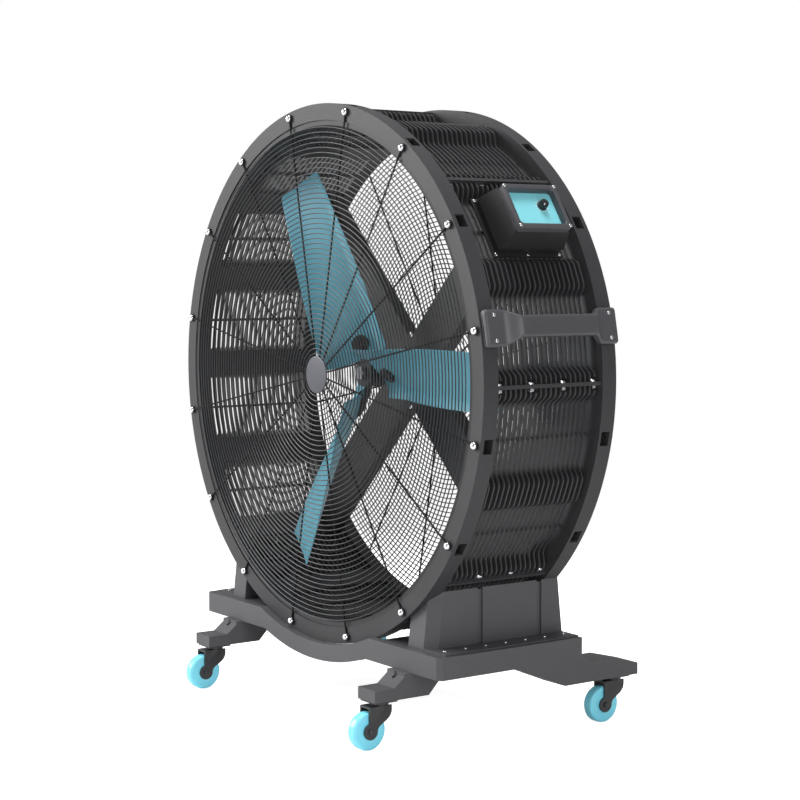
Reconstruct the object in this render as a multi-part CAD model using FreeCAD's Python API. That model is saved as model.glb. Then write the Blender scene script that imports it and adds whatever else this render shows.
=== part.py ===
import FreeCAD, Part
import math
import os

V = FreeCAD.Vector
AXIS_X = V(1, 0, 0)
AXIS_Y = V(0, 1, 0)
AXIS_Z = V(0, 0, 1)

# Driving dimensions, millimetres and degrees. The fan faces -Y, +X is its right, the floor is Z = 0.
# Drum
drum_radius = 750.0
drum_floor_gap = 200.0
drum_depth = 436.0
rim_depth = 60.0
segment_count = 8
rim_width = 47.0
rim_wall = 8.0
rim_lip_width = 14.0
rim_lip_depth = 4.0
rib_count = 20
rib_thickness = 5.0
rib_set_back = 3.0
rib_low_depth = 16.0
rib_high_depth = 48.0
zone_half_length = 26.0
rib_step_length = 42.0
web_thickness = 9.0
web_half_length = 38.0
tie_bar_width = 6.0
tie_bar_depth = 10.0
flange_thickness = 5.0
flange_depth = 54.0
pocket_length = 38.0

# Fasteners
joint_bolt_radius = 5.0
joint_bolt_head_radius = 11.0
joint_bolt_head_height = 8.0
joint_bolt_count = 4
joint_bolt_margin = 16.0
joint_bolt_inset = 18.0
joint_bolt_tail = 2.0
joint_bolt_room = 4.0
guard_bolt_radius = 4.0
guard_bolt_head_radius = 10.5
guard_bolt_head_height = 7.0
guard_bolt_length = 16.0
screw_radius = 2.5
screw_head_radius = 5.0
screw_head_height = 3.0
screw_length = 12.0
flange_screw_length = 6.0
machine_bolt_radius = 5.0
machine_bolt_head_radius = 10.0
machine_bolt_head_height = 5.0
blade_bolt_head_radius = 7.5
blade_bolt_head_height = 3.0
head_round_share = 0.6
hole_clearance = 0.4
seat_clearance = 0.2
running_clearance = 0.05
swivel_gap = 0.5
# How far a cut runs past the face it opens
overrun = 1.0
# How near two places are when they are the same
match = 0.01

# Guards
wire_diameter = 4.0
guard_ring_pitch = 13.9
guard_plate_radius = 52.5
guard_spoke_inner = 20.0
guard_bolts_per_segment = 2
guard_bolt_inset = 18.5

# Motor and its four arms
strut_count = 4
strut_inset = 120.0
strut_width = 134.0
strut_depth = 40.0
strut_wall = 5.0
strut_nose_radius = 40.0
motor_flange_radius = 95.0
motor_flange_thickness = 16.0
motor_radius = 85.0
motor_length = 86.0
motor_wall = 8.0
motor_cover_thickness = 6.0
motor_fin_count = 36
motor_fin_depth = 8.0
motor_fin_thickness = 3.0
motor_bolt_reach = 66.0
motor_bolt_spread = 22.0
stator_depth = 32.0
stator_length = 60.0
air_gap = 1.0
shaft_radius = 14.0
bearing_radius = 26.0
bearing_width = 12.0
rotor_length = 56.0
shaft_end_gap = 1.0
shaft_hole_gap = 2.0

# Impeller
blade_count = 3
blade_inset = 135.0
blade_tip_gap = 60.0
blade_root_radius = 46.0
blade_flat_end = 135.0
blade_thickness = 6.0
blade_pitch_root = 44.0
blade_pitch_middle = 27.0
blade_pitch_tip = 14.0
blade_chord_root = 196.0
blade_chord_middle = 184.0
blade_chord_tip = 158.0
blade_bow_root = 30.0
blade_bow_middle = 18.0
blade_bow_tip = 9.0
blade_bow_knee = 0.75
blade_seat_width = 64.0
blade_seat_back = 27.5
blade_station_count = 7
hub_radius = 40.0
hub_half_length = 30.0
paddle_width = 62.0
paddle_thickness = 12.0
paddle_end_radius = 130.0
clamp_radius = 25.0
clamp_thickness = 9.0
clamp_position = 92.0
shaft_nut_radius = 20.0
shaft_nut_height = 14.0

# Control box, square to the drum at its own angle
control_angle = 33.75
control_along = 6.5
box_sink = 12.0
box_face_rise = 70.0
box_base_length = 214.0
box_base_width = 158.0
box_top_length = 176.0
box_top_width = 136.0
box_wall = 5.0
box_plinth_height = 18.0
box_plinth_step = 3.0
box_flange_length = 228.0
box_flange_width = 180.0
box_flange_thickness = 4.0
box_skirt_length = 196.0
box_skirt_width = 132.0
frame_depth = 20.0
window_length = 150.0
window_width = 106.0
panel_thickness = 4.0
panel_ledge = 6.0
knob_along = 33.0
knob_down = -13.0
knob_radius = 14.0
knob_height = 18.0
knob_gap = 0.6
pointer_width = 2.0
pointer_depth = 1.5
pointer_rest_turn = 50.0
spindle_radius = 3.0
pot_radius = 12.0
pot_height = 20.0
board_length = 130.0
board_width = 92.0
board_thickness = 2.0
standoff_height = 8.0
standoff_radius = 4.0
heat_sink_height = 12.0
gland_radius = 10.0
gland_length = 24.0

# Side handle across the two rims
handle_angle = 11.25
handle_foot_height = 95.0
handle_foot_length = 52.0
handle_foot_depth = 22.0
handle_bar_height = 56.0
handle_bar_thickness = 28.0
handle_finger_gap = 22.0
handle_slope_length = 46.0
handle_round = 9.0
handle_slope_sink = 2.0

# Base
base_inset = 150.0
beam_top = 254.0
beam_height = 59.0
beam_front_reach = 24.0
beam_rear_reach = 20.0
fascia_thickness = 13.0
fascia_chamfer = 12.0
dip_clearance = 0.5
dip_depth = 48.0
base_wall = 6.0
side_beam_width = 285.0
outrigger_width = 90.0
outrigger_thickness = 32.0
rear_outrigger_reach = 203.0
rear_step_height = 24.0
rear_slope_reach = 108.0
rear_shelf_reach = 29.0
rear_knee_inset = 59.0
rear_rise_inset = 225.0
front_outrigger_inset = 168.0
front_outrigger_width = 79.0
front_outrigger_reach = 110.0
front_slope_reach = 49.0
front_slope_run = 32.0
front_slope_rise = 26.0
front_keel_inset = 62.0
front_keel_run = 65.0
tie_down_radius = 7.0
tie_down_reach = 20.0
upright_inset = 82.0
upright_width = 96.0
upright_front_inset = 6.0
upright_rear_reach = 18.0
upright_taper = 17.0
upright_chamfer = 28.0
upright_groove_width = 17.0
upright_groove_depth = 6.0
upright_groove_offsets = (165.0, 366.0)
upright_flange_thickness = 4.0
upright_flange_reach = 68.0
base_screw_count = 7
base_screw_margin = 24.0

# Casters
caster_height = 128.0
wheel_radius = 50.0
wheel_width = 32.0
wheel_round = 5.0
wheel_side_gap = 1.5
caster_trail = 40.0
rear_pivot_inset = 43.0
front_pivot_reach = 70.0
rear_pivot_reach = 146.0
caster_plate_size = 70.0
caster_plate_thickness = 5.0
caster_cup_radius = 25.0
caster_cup_height = 8.0
kingpin_radius = 6.0
fork_plate_thickness = 5.0
fork_leg_thickness = 5.0
fork_leg_end_radius = 21.0
axle_radius = 5.0
axle_head_radius = 8.0
axle_head_height = 5.0

# Values worked out from the dimensions above
full_turn = 360.0
half_depth = drum_depth / 2
axis_height = drum_radius + drum_floor_gap
wall_radius = drum_radius - rim_depth
rim_inner_face = half_depth - rim_width
segment_angle = full_turn / segment_count
zone_angle = segment_angle / 2
rib_inner_radius = wall_radius + rib_set_back
rib_low_radius = wall_radius + rib_low_depth
rib_high_radius = wall_radius + rib_high_depth
rib_pitch = 2 * rim_inner_face / (rib_count + 1)
joint_bolt_circle = wall_radius + flange_depth - joint_bolt_inset
joint_bolt_pitch = 2 * (rim_inner_face - joint_bolt_margin) / (joint_bolt_count - 1)
guard_bolt_circle = drum_radius - guard_bolt_inset
bolt_space = flange_thickness + joint_bolt_head_height + joint_bolt_room
guard_bolt_step = segment_angle / guard_bolts_per_segment
guard_ring_first = guard_plate_radius + guard_ring_pitch / 2
guard_ring_count = int((wall_radius - guard_ring_first) / guard_ring_pitch) + 1
guard_plane = half_depth + wire_diameter + seat_clearance
strut_front = half_depth - strut_inset
motor_front = strut_front + strut_wall
motor_body_front = motor_front + motor_flange_thickness
motor_rear = motor_body_front + motor_length
stator_outer = motor_radius - motor_wall
stator_inner = stator_outer - stator_depth
stator_middle = (motor_body_front + motor_rear) / 2
blade_plane = blade_inset - half_depth
blade_tip_radius = wall_radius - blade_tip_gap
blade_seat_depth = blade_plane + blade_bow_root
blade_root_turn = math.radians(blade_pitch_root)
paddle_depth = blade_bow_root + (blade_thickness + paddle_thickness) / 2
hub_middle = blade_plane + blade_seat_back * math.sin(blade_root_turn) + paddle_depth * math.cos(blade_root_turn)
hub_front = hub_middle - hub_half_length
hub_rear = hub_middle + hub_half_length
box_base_height = drum_radius - box_sink
box_face_height = drum_radius + box_face_rise
base_half_width = drum_radius - base_inset
beam_front = -half_depth - beam_front_reach
beam_rear = half_depth + beam_rear_reach
side_beam_inner = base_half_width - side_beam_width
upright_outer = base_half_width - upright_inset
upright_inner = upright_outer - upright_width
upright_front = upright_front_inset - half_depth
upright_rear = half_depth + upright_rear_reach
front_outrigger_center = base_half_width - front_outrigger_inset
fork_inner = wheel_width / 2 + wheel_side_gap
fork_outer = fork_inner + fork_leg_thickness
beam_bottom = beam_top - beam_height
deck_top = caster_height + outrigger_thickness
saddle_radius = drum_radius + seat_clearance


def polar(radius, angle, y=0.0):
    return V(radius * math.cos(math.radians(angle)), y, radius * math.sin(math.radians(angle)))


def arc_angle(length, radius):
    return math.degrees(length / radius)


def box(x0, x1, y0, y1, z0, z1):
    return Part.makeBox(x1 - x0, y1 - y0, z1 - z0, V(x0, y0, z0))


def rod(radius, start, direction, length):
    return Part.makeCylinder(radius, length, start, direction)


def tube_y(outer, inner, y0, y1):
    length = y1 - y0
    bore = rod(inner, V(0, y0 - overrun, 0), AXIS_Y, length + 2 * overrun)
    return rod(outer, V(0, y0, 0), AXIS_Y, length).cut(bore)


def arc_edge(radius, start, end, y=0.0):
    middle = polar(radius, (start + end) / 2, y)
    return Part.Arc(polar(radius, start, y), middle, polar(radius, end, y)).toShape()


def solid_of(edges, travel):
    body = Part.Face(Part.Wire(edges)).extrude(travel)
    if body.Volume < 0:
        body.reverse()
    return body


def prism(points, travel):
    return solid_of(list(Part.makePolygon(points + [points[0]]).Edges), travel)


def sector(inner, outer, start, end, y0, y1):
    edges = [
        arc_edge(inner, start, end, y0),
        Part.makeLine(polar(inner, end, y0), polar(outer, end, y0)),
        arc_edge(outer, end, start, y0),
        Part.makeLine(polar(outer, start, y0), polar(inner, start, y0)),
    ]
    return solid_of(edges, V(0, y1 - y0, 0))


def turned(shape, angle):
    copy = shape.copy()
    copy.rotate(V(0, 0, 0), AXIS_Y, -angle)
    return copy


def around(shape, count, start=0.0):
    return [turned(shape, start + full_turn * index / count) for index in range(count)]


def mirrored_x(shape):
    return shape.mirror(V(0, 0, 0), AXIS_X)


def lifted(shape):
    copy = shape.copy()
    copy.translate(V(0, 0, axis_height))
    return copy


def domed_head(radius, height, seat, direction):
    round_size = min(height, radius) * head_round_share
    head = rod(radius, seat, direction, height)
    far = seat + direction * height
    crown = [e for e in head.Edges if (e.CenterOfMass - far).Length < match]
    return head.makeFillet(round_size, crown)


def bolt(radius, length, head_radius, head_height, seat, direction):
    shank = rod(radius, seat - direction * length, direction, length)
    return domed_head(head_radius, head_height, seat, direction).fuse(shank)


def machine_bolt(length, seat):
    return bolt(machine_bolt_radius, length, machine_bolt_head_radius, machine_bolt_head_height, seat, AXIS_Y * -1)


def screw(seat, direction):
    return bolt(screw_radius, screw_length, screw_head_radius, screw_head_height, seat, direction)


def write(name, shapes):
    group = shapes if isinstance(shapes, list) else [shapes]
    result = group[0] if len(group) == 1 else Part.makeCompound(group)
    result.exportStep("parts/" + name + ".step")


# Drum: eight moulded segments bolted flange to flange
def rib_outline(y):
    joint = arc_angle(bolt_space, wall_radius)
    step = arc_angle(rib_step_length, rib_low_radius)
    plateau = arc_angle(zone_half_length, rib_high_radius)
    marks = [arc_angle(flange_thickness / 2, wall_radius), joint, joint + step]
    marks += [zone_angle - plateau - step, zone_angle - plateau]
    marks += [segment_angle - mark for mark in reversed(marks)]
    radius = rib_high_radius
    inner = rib_inner_radius
    edges = [arc_edge(inner, marks[0], marks[-1], y)]
    edges.append(Part.makeLine(polar(inner, marks[-1], y), polar(radius, marks[-1], y)))
    # From the far flange back to the near one, plain arcs and S-bends take turns
    for index in range(len(marks) - 1, 0, -1):
        start = marks[index]
        end = marks[index - 1]
        if index % 2 == 1:
            edges.append(arc_edge(radius, start, end, y))
            continue
        other = rib_low_radius + rib_high_radius - radius
        halfway = (start + end) / 2
        bend = Part.BezierCurve()
        corners = ((radius, start), (radius, halfway), (other, halfway), (other, end))
        bend.setPoles([polar(at, angle, y) for at, angle in corners])
        edges.append(bend.toShape())
        radius = other
    edges.append(Part.makeLine(polar(radius, marks[0], y), polar(inner, marks[0], y)))
    return edges


def ribs():
    first = -rim_inner_face + rib_pitch - rib_thickness / 2
    places = [first + rib_pitch * index for index in range(rib_count)]
    return [solid_of(rib_outline(y), V(0, rib_thickness, 0)) for y in places]


def revolved(section, start, angle):
    points = [polar(radius, start, y) for radius, y in section]
    face = Part.Face(Part.makePolygon(points + [points[0]]))
    body = face.revolve(V(0, 0, 0), AXIS_Y, -angle)
    if body.Volume < 0:
        body.reverse()
    return body


def rim(side):
    # side is -1 at the front and +1 at the rear
    face = side * half_depth
    lip_face = side * (half_depth - rim_lip_depth)
    back = side * rim_inner_face
    lip_radius = wall_radius + rim_lip_width
    section = [(wall_radius, back), (drum_radius, back), (drum_radius, face)]
    section += [(lip_radius, face), (lip_radius, lip_face), (wall_radius, lip_face)]
    body = revolved(section, 0.0, segment_angle)
    inner = wall_radius + rim_wall
    outer = drum_radius - rim_wall
    void_back = side * (rim_inner_face + rim_wall)
    void_face = side * (half_depth - rim_wall - rim_lip_depth)
    end_wall = arc_angle(rim_wall, wall_radius)
    void_section = [(inner, void_back), (outer, void_back), (outer, void_face), (inner, void_face)]
    body = body.cut(revolved(void_section, end_wall, segment_angle - 2 * end_wall))
    low = min(void_back, void_face)
    high = max(void_back, void_face)
    for index in range(guard_bolts_per_segment):
        angle = guard_bolt_step * (index + 0.5)
        pocket = box(outer - overrun, drum_radius + rim_wall, low, high, -pocket_length / 2, pocket_length / 2)
        hole_depth = rim_wall + rim_lip_depth + 2 * overrun
        start = V(guard_bolt_circle, face + side * overrun, 0)
        hole = rod(guard_bolt_radius + hole_clearance, start, AXIS_Y * -side, hole_depth)
        body = body.cut([turned(pocket, angle), turned(hole, angle)])
    return body


def joint_bolt_places():
    first = -joint_bolt_pitch * (joint_bolt_count - 1) / 2
    return [first + joint_bolt_pitch * index for index in range(joint_bolt_count)]


def flange():
    outer = wall_radius + flange_depth
    plate = box(wall_radius, outer, -rim_inner_face, rim_inner_face, 0, flange_thickness)
    for y in joint_bolt_places():
        start = V(joint_bolt_circle, y, -overrun)
        hole = rod(joint_bolt_radius + hole_clearance, start, AXIS_Z, flange_thickness + 2 * overrun)
        plate = plate.cut(hole)
    return plate


def bolt_room():
    # Space in the ribs for the bolt heads and a socket, open to the outside
    half = joint_bolt_head_radius + joint_bolt_room / 2
    start = joint_bolt_circle - half
    end = drum_radius + overrun
    return [box(start, end, y - half, y + half, -overrun, bolt_space) for y in joint_bolt_places()]


def drum_segment():
    plate = flange()
    far_plate = turned(plate.mirror(V(0, 0, 0), AXIS_Z), segment_angle)
    web_outer = wall_radius + web_thickness
    web = arc_angle(web_half_length, wall_radius)
    spans = [(0.0, web), (zone_angle - web, zone_angle + web), (segment_angle - web, segment_angle)]
    pieces = [sector(wall_radius, web_outer, a, b, -rim_inner_face, rim_inner_face) for a, b in spans]
    bar_half = arc_angle(tie_bar_width / 2, wall_radius)
    for angle in (zone_angle / 2, segment_angle - zone_angle / 2):
        bar_outer = wall_radius + tie_bar_depth
        bar = sector(wall_radius, bar_outer, angle - bar_half, angle + bar_half, -rim_inner_face, rim_inner_face)
        pieces.append(bar)
    room = bolt_room()
    far_room = [turned(gap.mirror(V(0, 0, 0), AXIS_Z), segment_angle) for gap in room]
    fins = ribs()
    finned = fins[0].multiFuse(fins[1:] + pieces).cut(room + far_room)
    return plate.multiFuse([finned, far_plate, rim(-1), rim(1)])


def make_drum():
    segment = drum_segment()
    for index in range(segment_count):
        write("drum_segment_%d" % (index + 1), lifted(turned(segment, segment_angle * index)))
    bolts = []
    nuts = []
    for y in joint_bolt_places():
        seat = V(joint_bolt_circle, y, flange_thickness)
        length = 2 * flange_thickness + joint_bolt_head_height + joint_bolt_tail
        piece = bolt(joint_bolt_radius, length, joint_bolt_head_radius, joint_bolt_head_height, seat, AXIS_Z)
        bolts += around(piece, segment_count)
        under = V(joint_bolt_circle, y, -flange_thickness)
        nut = hex_nut(joint_bolt_head_radius, joint_bolt_radius, joint_bolt_head_height, under, AXIS_Z * -1)
        nuts += around(nut, segment_count)
    write("segment_bolts", [lifted(piece) for piece in bolts + nuts])


def hex_nut(radius, bore, height, seat, direction):
    # A six-sided nut standing on its seat
    circle = Part.makeCircle(radius, seat, direction)
    corners = circle.discretize(7)
    body = solid_of(list(Part.makePolygon(corners[:6] + [corners[0]]).Edges), direction * height)
    return body.cut(rod(bore + seat_clearance, seat - direction * overrun, direction, height + 2 * overrun))


# Guards: concentric wire rings on radial spokes that end in bolted eyelets
def guard_spoke(side):
    layer = side * (half_depth + wire_diameter / 2 + seat_clearance / 2)
    start = V(guard_spoke_inner, layer, 0)
    eye_radius = guard_bolt_head_radius
    wire_end = guard_bolt_circle - eye_radius / 2 - guard_bolt_radius
    wire = rod(wire_diameter / 2, start, AXIS_X, wire_end - guard_spoke_inner)
    eye_start = V(guard_bolt_circle, layer - wire_diameter / 2, 0)
    eye = rod(eye_radius, eye_start, AXIS_Y, wire_diameter)
    bore_start = eye_start - AXIS_Y * overrun
    bore = rod(guard_bolt_radius + hole_clearance, bore_start, AXIS_Y, wire_diameter + 2 * overrun)
    return wire.fuse(eye).cut(bore)


def wire_ring(radius, layer):
    # A ring of six-sided wire, flat where it lies on the spokes
    half = wire_diameter / 2
    reach = half / math.cos(math.radians(30.0))
    angles = [30.0 + 60.0 * index for index in range(6)]
    corners = [polar(reach, angle) for angle in angles]
    section = [(radius + corner.x, layer + corner.z) for corner in corners]
    return revolved(section, 0.0, full_turn)


def make_guards():
    bolts = []
    plates = []
    spoke_count = segment_count * guard_bolts_per_segment
    for side, name in ((-1, "front_guard"), (1, "rear_guard")):
        layer = side * (guard_plane + wire_diameter / 2)
        rings = []
        for index in range(guard_ring_count):
            radius = guard_ring_first + guard_ring_pitch * index
            rings.append(wire_ring(radius, layer))
        spokes = around(guard_spoke(side), spoke_count, guard_bolt_step / 2)
        write(name, [lifted(piece) for piece in rings + spokes])
        plate_start = V(0, layer - wire_diameter / 2, 0)
        plates.append(lifted(rod(guard_plate_radius, plate_start, AXIS_Y, wire_diameter)))
        seat = V(guard_bolt_circle, side * (guard_plane - seat_clearance / 2), 0)
        head = (guard_bolt_head_radius, guard_bolt_head_height)
        piece = bolt(guard_bolt_radius, guard_bolt_length, *head, seat, AXIS_Y * side)
        bolts += [lifted(copy) for copy in around(piece, spoke_count, guard_bolt_step / 2)]
    write("guard_plates", plates)
    write("guard_bolts", bolts)


# Motor carried by four channel arms at 45 degrees to the floor
def strut():
    half = strut_width / 2
    reach = wall_radius
    # The four noses are mitred against each other and leave a square opening for the shaft
    nose = strut_nose_radius
    outline = [(nose, seat_clearance - nose), (half, seat_clearance - half), (half, -half), (reach, -half)]
    outline += [(x, -z) for x, z in reversed(outline)]
    front = prism([V(x, strut_front, z) for x, z in outline], AXIS_Y * strut_wall)
    wall_start = motor_flange_radius + 2 * seat_clearance
    rear = strut_front + strut_depth
    lower = box(wall_start, reach, motor_front, rear, -half, -half + strut_wall)
    upper = box(wall_start, reach, motor_front, rear, half - strut_wall, half)
    foot = box(reach - 3 * strut_wall, reach, motor_front, rear, -half + strut_wall, half - strut_wall)
    inside = rod(wall_radius - seat_clearance, V(0, strut_front - overrun, 0), AXIS_Y, strut_depth + 2 * overrun)
    arm = front.multiFuse([lower, upper, foot]).common(inside)
    for z in (-motor_bolt_spread, motor_bolt_spread):
        start = V(motor_bolt_reach, strut_front - overrun, z)
        hole = rod(machine_bolt_radius + hole_clearance, start, AXIS_Y, strut_wall + 2 * overrun)
        arm = arm.cut(hole)
    return arm


def make_motor():
    for index, arm in enumerate(around(strut(), strut_count, zone_angle * 2)):
        write("motor_strut_%d" % (index + 1), lifted(arm))
    bolts = []
    for z in (-motor_bolt_spread, motor_bolt_spread):
        seat = V(motor_bolt_reach, strut_front, z)
        depth = strut_wall + motor_flange_thickness
        piece = machine_bolt(depth, seat)
        bolts += around(piece, strut_count, zone_angle * 2)
    write("strut_bolts", [lifted(piece) for piece in bolts])

    flange_disc = rod(motor_flange_radius, V(0, motor_front, 0), AXIS_Y, motor_flange_thickness)
    body = rod(motor_radius, V(0, motor_body_front, 0), AXIS_Y, motor_length)
    cavity = rod(stator_outer, V(0, motor_body_front, 0), AXIS_Y, motor_length + overrun)
    pocket_start = V(0, motor_body_front - bearing_width, 0)
    bearing_pocket = rod(bearing_radius + seat_clearance, pocket_start, AXIS_Y, bearing_width + overrun)
    hole_start = motor_front - overrun
    hole_depth = motor_flange_thickness + 2 * overrun
    shaft_hole = rod(shaft_radius + shaft_hole_gap, V(0, hole_start, 0), AXIS_Y, hole_depth)
    housing = flange_disc.fuse(body).cut([cavity, bearing_pocket, shaft_hole])
    for z in (-motor_bolt_spread, motor_bolt_spread):
        hole = rod(machine_bolt_radius + hole_clearance, V(motor_bolt_reach, hole_start, z), AXIS_Y, hole_depth)
        housing = housing.cut(around(hole, strut_count, zone_angle * 2))
    fin_half = motor_fin_thickness / 2
    fin_top = motor_radius + motor_fin_depth
    fin = box(motor_radius - overrun, fin_top, motor_body_front, motor_rear, -fin_half, fin_half)
    write("motor_housing", lifted(housing.multiFuse(around(fin, motor_fin_count))))

    cover = rod(motor_radius, V(0, motor_rear, 0), AXIS_Y, motor_cover_thickness)
    boss = rod(bearing_radius + motor_wall, V(0, motor_rear - bearing_width, 0), AXIS_Y, bearing_width)
    pocket_start = V(0, motor_rear - bearing_width - overrun, 0)
    pocket = rod(bearing_radius + seat_clearance, pocket_start, AXIS_Y, bearing_width + overrun)
    write("motor_rear_cover", lifted(cover.fuse(boss).cut(pocket)))

    stator_start = stator_middle - stator_length / 2
    stator = tube_y(stator_outer - seat_clearance, stator_inner, stator_start, stator_start + stator_length)
    write("motor_stator", lifted(stator))
    race_inner = shaft_radius + running_clearance
    front_race = tube_y(bearing_radius, race_inner, motor_body_front - bearing_width, motor_body_front)
    rear_race = tube_y(bearing_radius, race_inner, motor_rear - bearing_width, motor_rear)
    write("motor_bearings", [lifted(front_race), lifted(rear_race)])

    shaft_end = motor_rear - shaft_end_gap
    shaft_start = hub_front - shaft_nut_height
    write("motor_shaft", lifted(rod(shaft_radius, V(0, shaft_start, 0), AXIS_Y, shaft_end - shaft_start)))
    rotor_start = stator_middle - rotor_length / 2
    rotor = tube_y(stator_inner - air_gap, shaft_radius + seat_clearance, rotor_start, rotor_start + rotor_length)
    write("motor_rotor", lifted(rotor))


# Impeller: three twisted blades clamped to the paddles of a keyed hub
def blend(share, root, middle, tip):
    # The parabola through a value at the root, half way along and at the tip
    return root * (1 - share) * (1 - 2 * share) + middle * 4 * share * (1 - share) + tip * share * (2 * share - 1)


def blade_section(radius):
    share = (radius - blade_flat_end) / (blade_tip_radius - blade_flat_end)
    pitch = math.radians(blend(share, blade_pitch_root, blade_pitch_middle, blade_pitch_tip))
    half = blend(share, blade_chord_root, blade_chord_middle, blade_chord_tip) / 2
    chord = V(0, -math.sin(pitch), math.cos(pitch))
    across = V(0, math.cos(pitch), math.sin(pitch))
    bow = blend(share, blade_bow_root, blade_bow_middle, blade_bow_tip)
    seat_low = -blade_seat_back - blade_seat_width / 2
    seat_high = seat_low + blade_seat_width
    line = [(-half, 0.0), ((seat_low - half) / 2, bow * blade_bow_knee), (seat_low, bow)]
    line += [(seat_high, bow), ((seat_high + half) / 2, bow * blade_bow_knee), (half, 0.0)]
    middle = V(radius, blade_plane, 0)
    front = [middle + chord * at + across * (depth - blade_thickness / 2) for at, depth in line]
    rear = [middle + chord * at + across * (depth + blade_thickness / 2) for at, depth in reversed(line)]
    return Part.makePolygon(front + rear + [front[0]])


def root_frame(shape):
    # Turns a piece built square to the axis to the blade's root pitch
    copy = shape.copy()
    copy.rotate(V(0, blade_plane, 0), AXIS_X, blade_pitch_root)
    return copy


def blade_holes():
    places = (clamp_position - clamp_radius / 2, clamp_position + clamp_radius / 2)
    return [V(radius, blade_seat_depth, -blade_seat_back) for radius in places]


def blade():
    span = blade_tip_radius - blade_flat_end
    stations = [blade_flat_end + span * index / (blade_station_count - 1) for index in range(blade_station_count)]
    twisted = Part.makeLoft([blade_section(radius) for radius in stations], True, False)
    root = Part.Face(blade_section(blade_flat_end)).extrude(V(blade_root_radius - blade_flat_end, 0, 0))
    body = twisted.fuse(root)
    bore = machine_bolt_radius + hole_clearance
    holes = [rod(bore, at - AXIS_Y * blade_thickness, AXIS_Y, 2 * blade_thickness) for at in blade_holes()]
    hub_room = rod(hub_radius + seat_clearance, V(0, hub_front - blade_chord_root, 0), AXIS_Y, 3 * blade_chord_root)
    return body.cut([root_frame(hole) for hole in holes] + [hub_room])


def make_impeller():
    body = rod(hub_radius, V(0, hub_front, 0), AXIS_Y, hub_rear - hub_front)
    behind = blade_seat_depth + blade_thickness / 2
    low = -blade_seat_back - paddle_width / 2
    paddle = box(0, paddle_end_radius, behind, behind + paddle_thickness, low, low + paddle_width)
    bore = machine_bolt_radius + hole_clearance
    hole_depth = blade_thickness + paddle_thickness + overrun
    holes = [rod(bore, at, AXIS_Y, hole_depth) for at in blade_holes()]
    paddle = root_frame(paddle.cut(holes))
    hub = body.multiFuse(around(paddle, blade_count))
    bore_start = V(0, hub_front - overrun, 0)
    hub = hub.cut(rod(shaft_radius + seat_clearance, bore_start, AXIS_Y, hub_rear - hub_front + 2 * overrun))
    write("impeller_hub", lifted(hub))
    for index, piece in enumerate(around(blade(), blade_count)):
        write("blade_%d" % (index + 1), lifted(piece))
    front = blade_seat_depth - blade_thickness / 2
    pad_start = V(clamp_position, front - clamp_thickness, -blade_seat_back)
    pad = rod(clamp_radius, pad_start, AXIS_Y, clamp_thickness)
    lead = AXIS_Y * (clamp_thickness + blade_thickness)
    pad_holes = [rod(bore, at - lead, AXIS_Y, 2 * clamp_thickness + 2 * overrun) for at in blade_holes()]
    pads = around(root_frame(pad.cut(pad_holes)), blade_count)
    write("blade_clamps", [lifted(piece) for piece in pads])
    bolts = []
    for at in blade_holes():
        seat = V(at.x, front - clamp_thickness, at.z)
        depth = clamp_thickness + blade_thickness + paddle_thickness
        piece = bolt(machine_bolt_radius, depth, blade_bolt_head_radius, blade_bolt_head_height, seat, AXIS_Y * -1)
        bolts += around(root_frame(piece), blade_count)
    write("blade_bolts", [lifted(piece) for piece in bolts])
    nut = hex_nut(shaft_nut_radius, shaft_radius, shaft_nut_height, V(0, hub_front, 0), AXIS_Y * -1)
    write("shaft_nut", lifted(nut))


# Control box: built on top of the drum, then turned round to its own angle
def control_place(shape):
    copy = shape.copy()
    copy.translate(AXIS_Y * control_along)
    return lifted(turned(copy, control_angle - 90.0))


def slab(length, width, z0, z1):
    return box(-width / 2, width / 2, -length / 2, length / 2, z0, z1)


def outline_at(length, width, z):
    corners = [V(-width / 2, -length / 2, z), V(width / 2, -length / 2, z)]
    corners += [V(width / 2, length / 2, z), V(-width / 2, length / 2, z)]
    return Part.makePolygon(corners + [corners[0]])


def tapered(inset, z0, z1):
    height = box_face_height - frame_depth - box_base_height
    shapes = []
    for z in (z0, z1):
        share = (z - box_base_height) / height
        length = box_base_length + (box_top_length - box_base_length) * share - 2 * inset
        width = box_base_width + (box_top_width - box_base_width) * share - 2 * inset
        shapes.append(outline_at(length, width, z))
    return Part.makeLoft(shapes, True, True)


def corner_places(length, width, z):
    return [V(a * width / 2, b * length / 2, z) for a in (-1, 1) for b in (-1, 1)]


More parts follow.
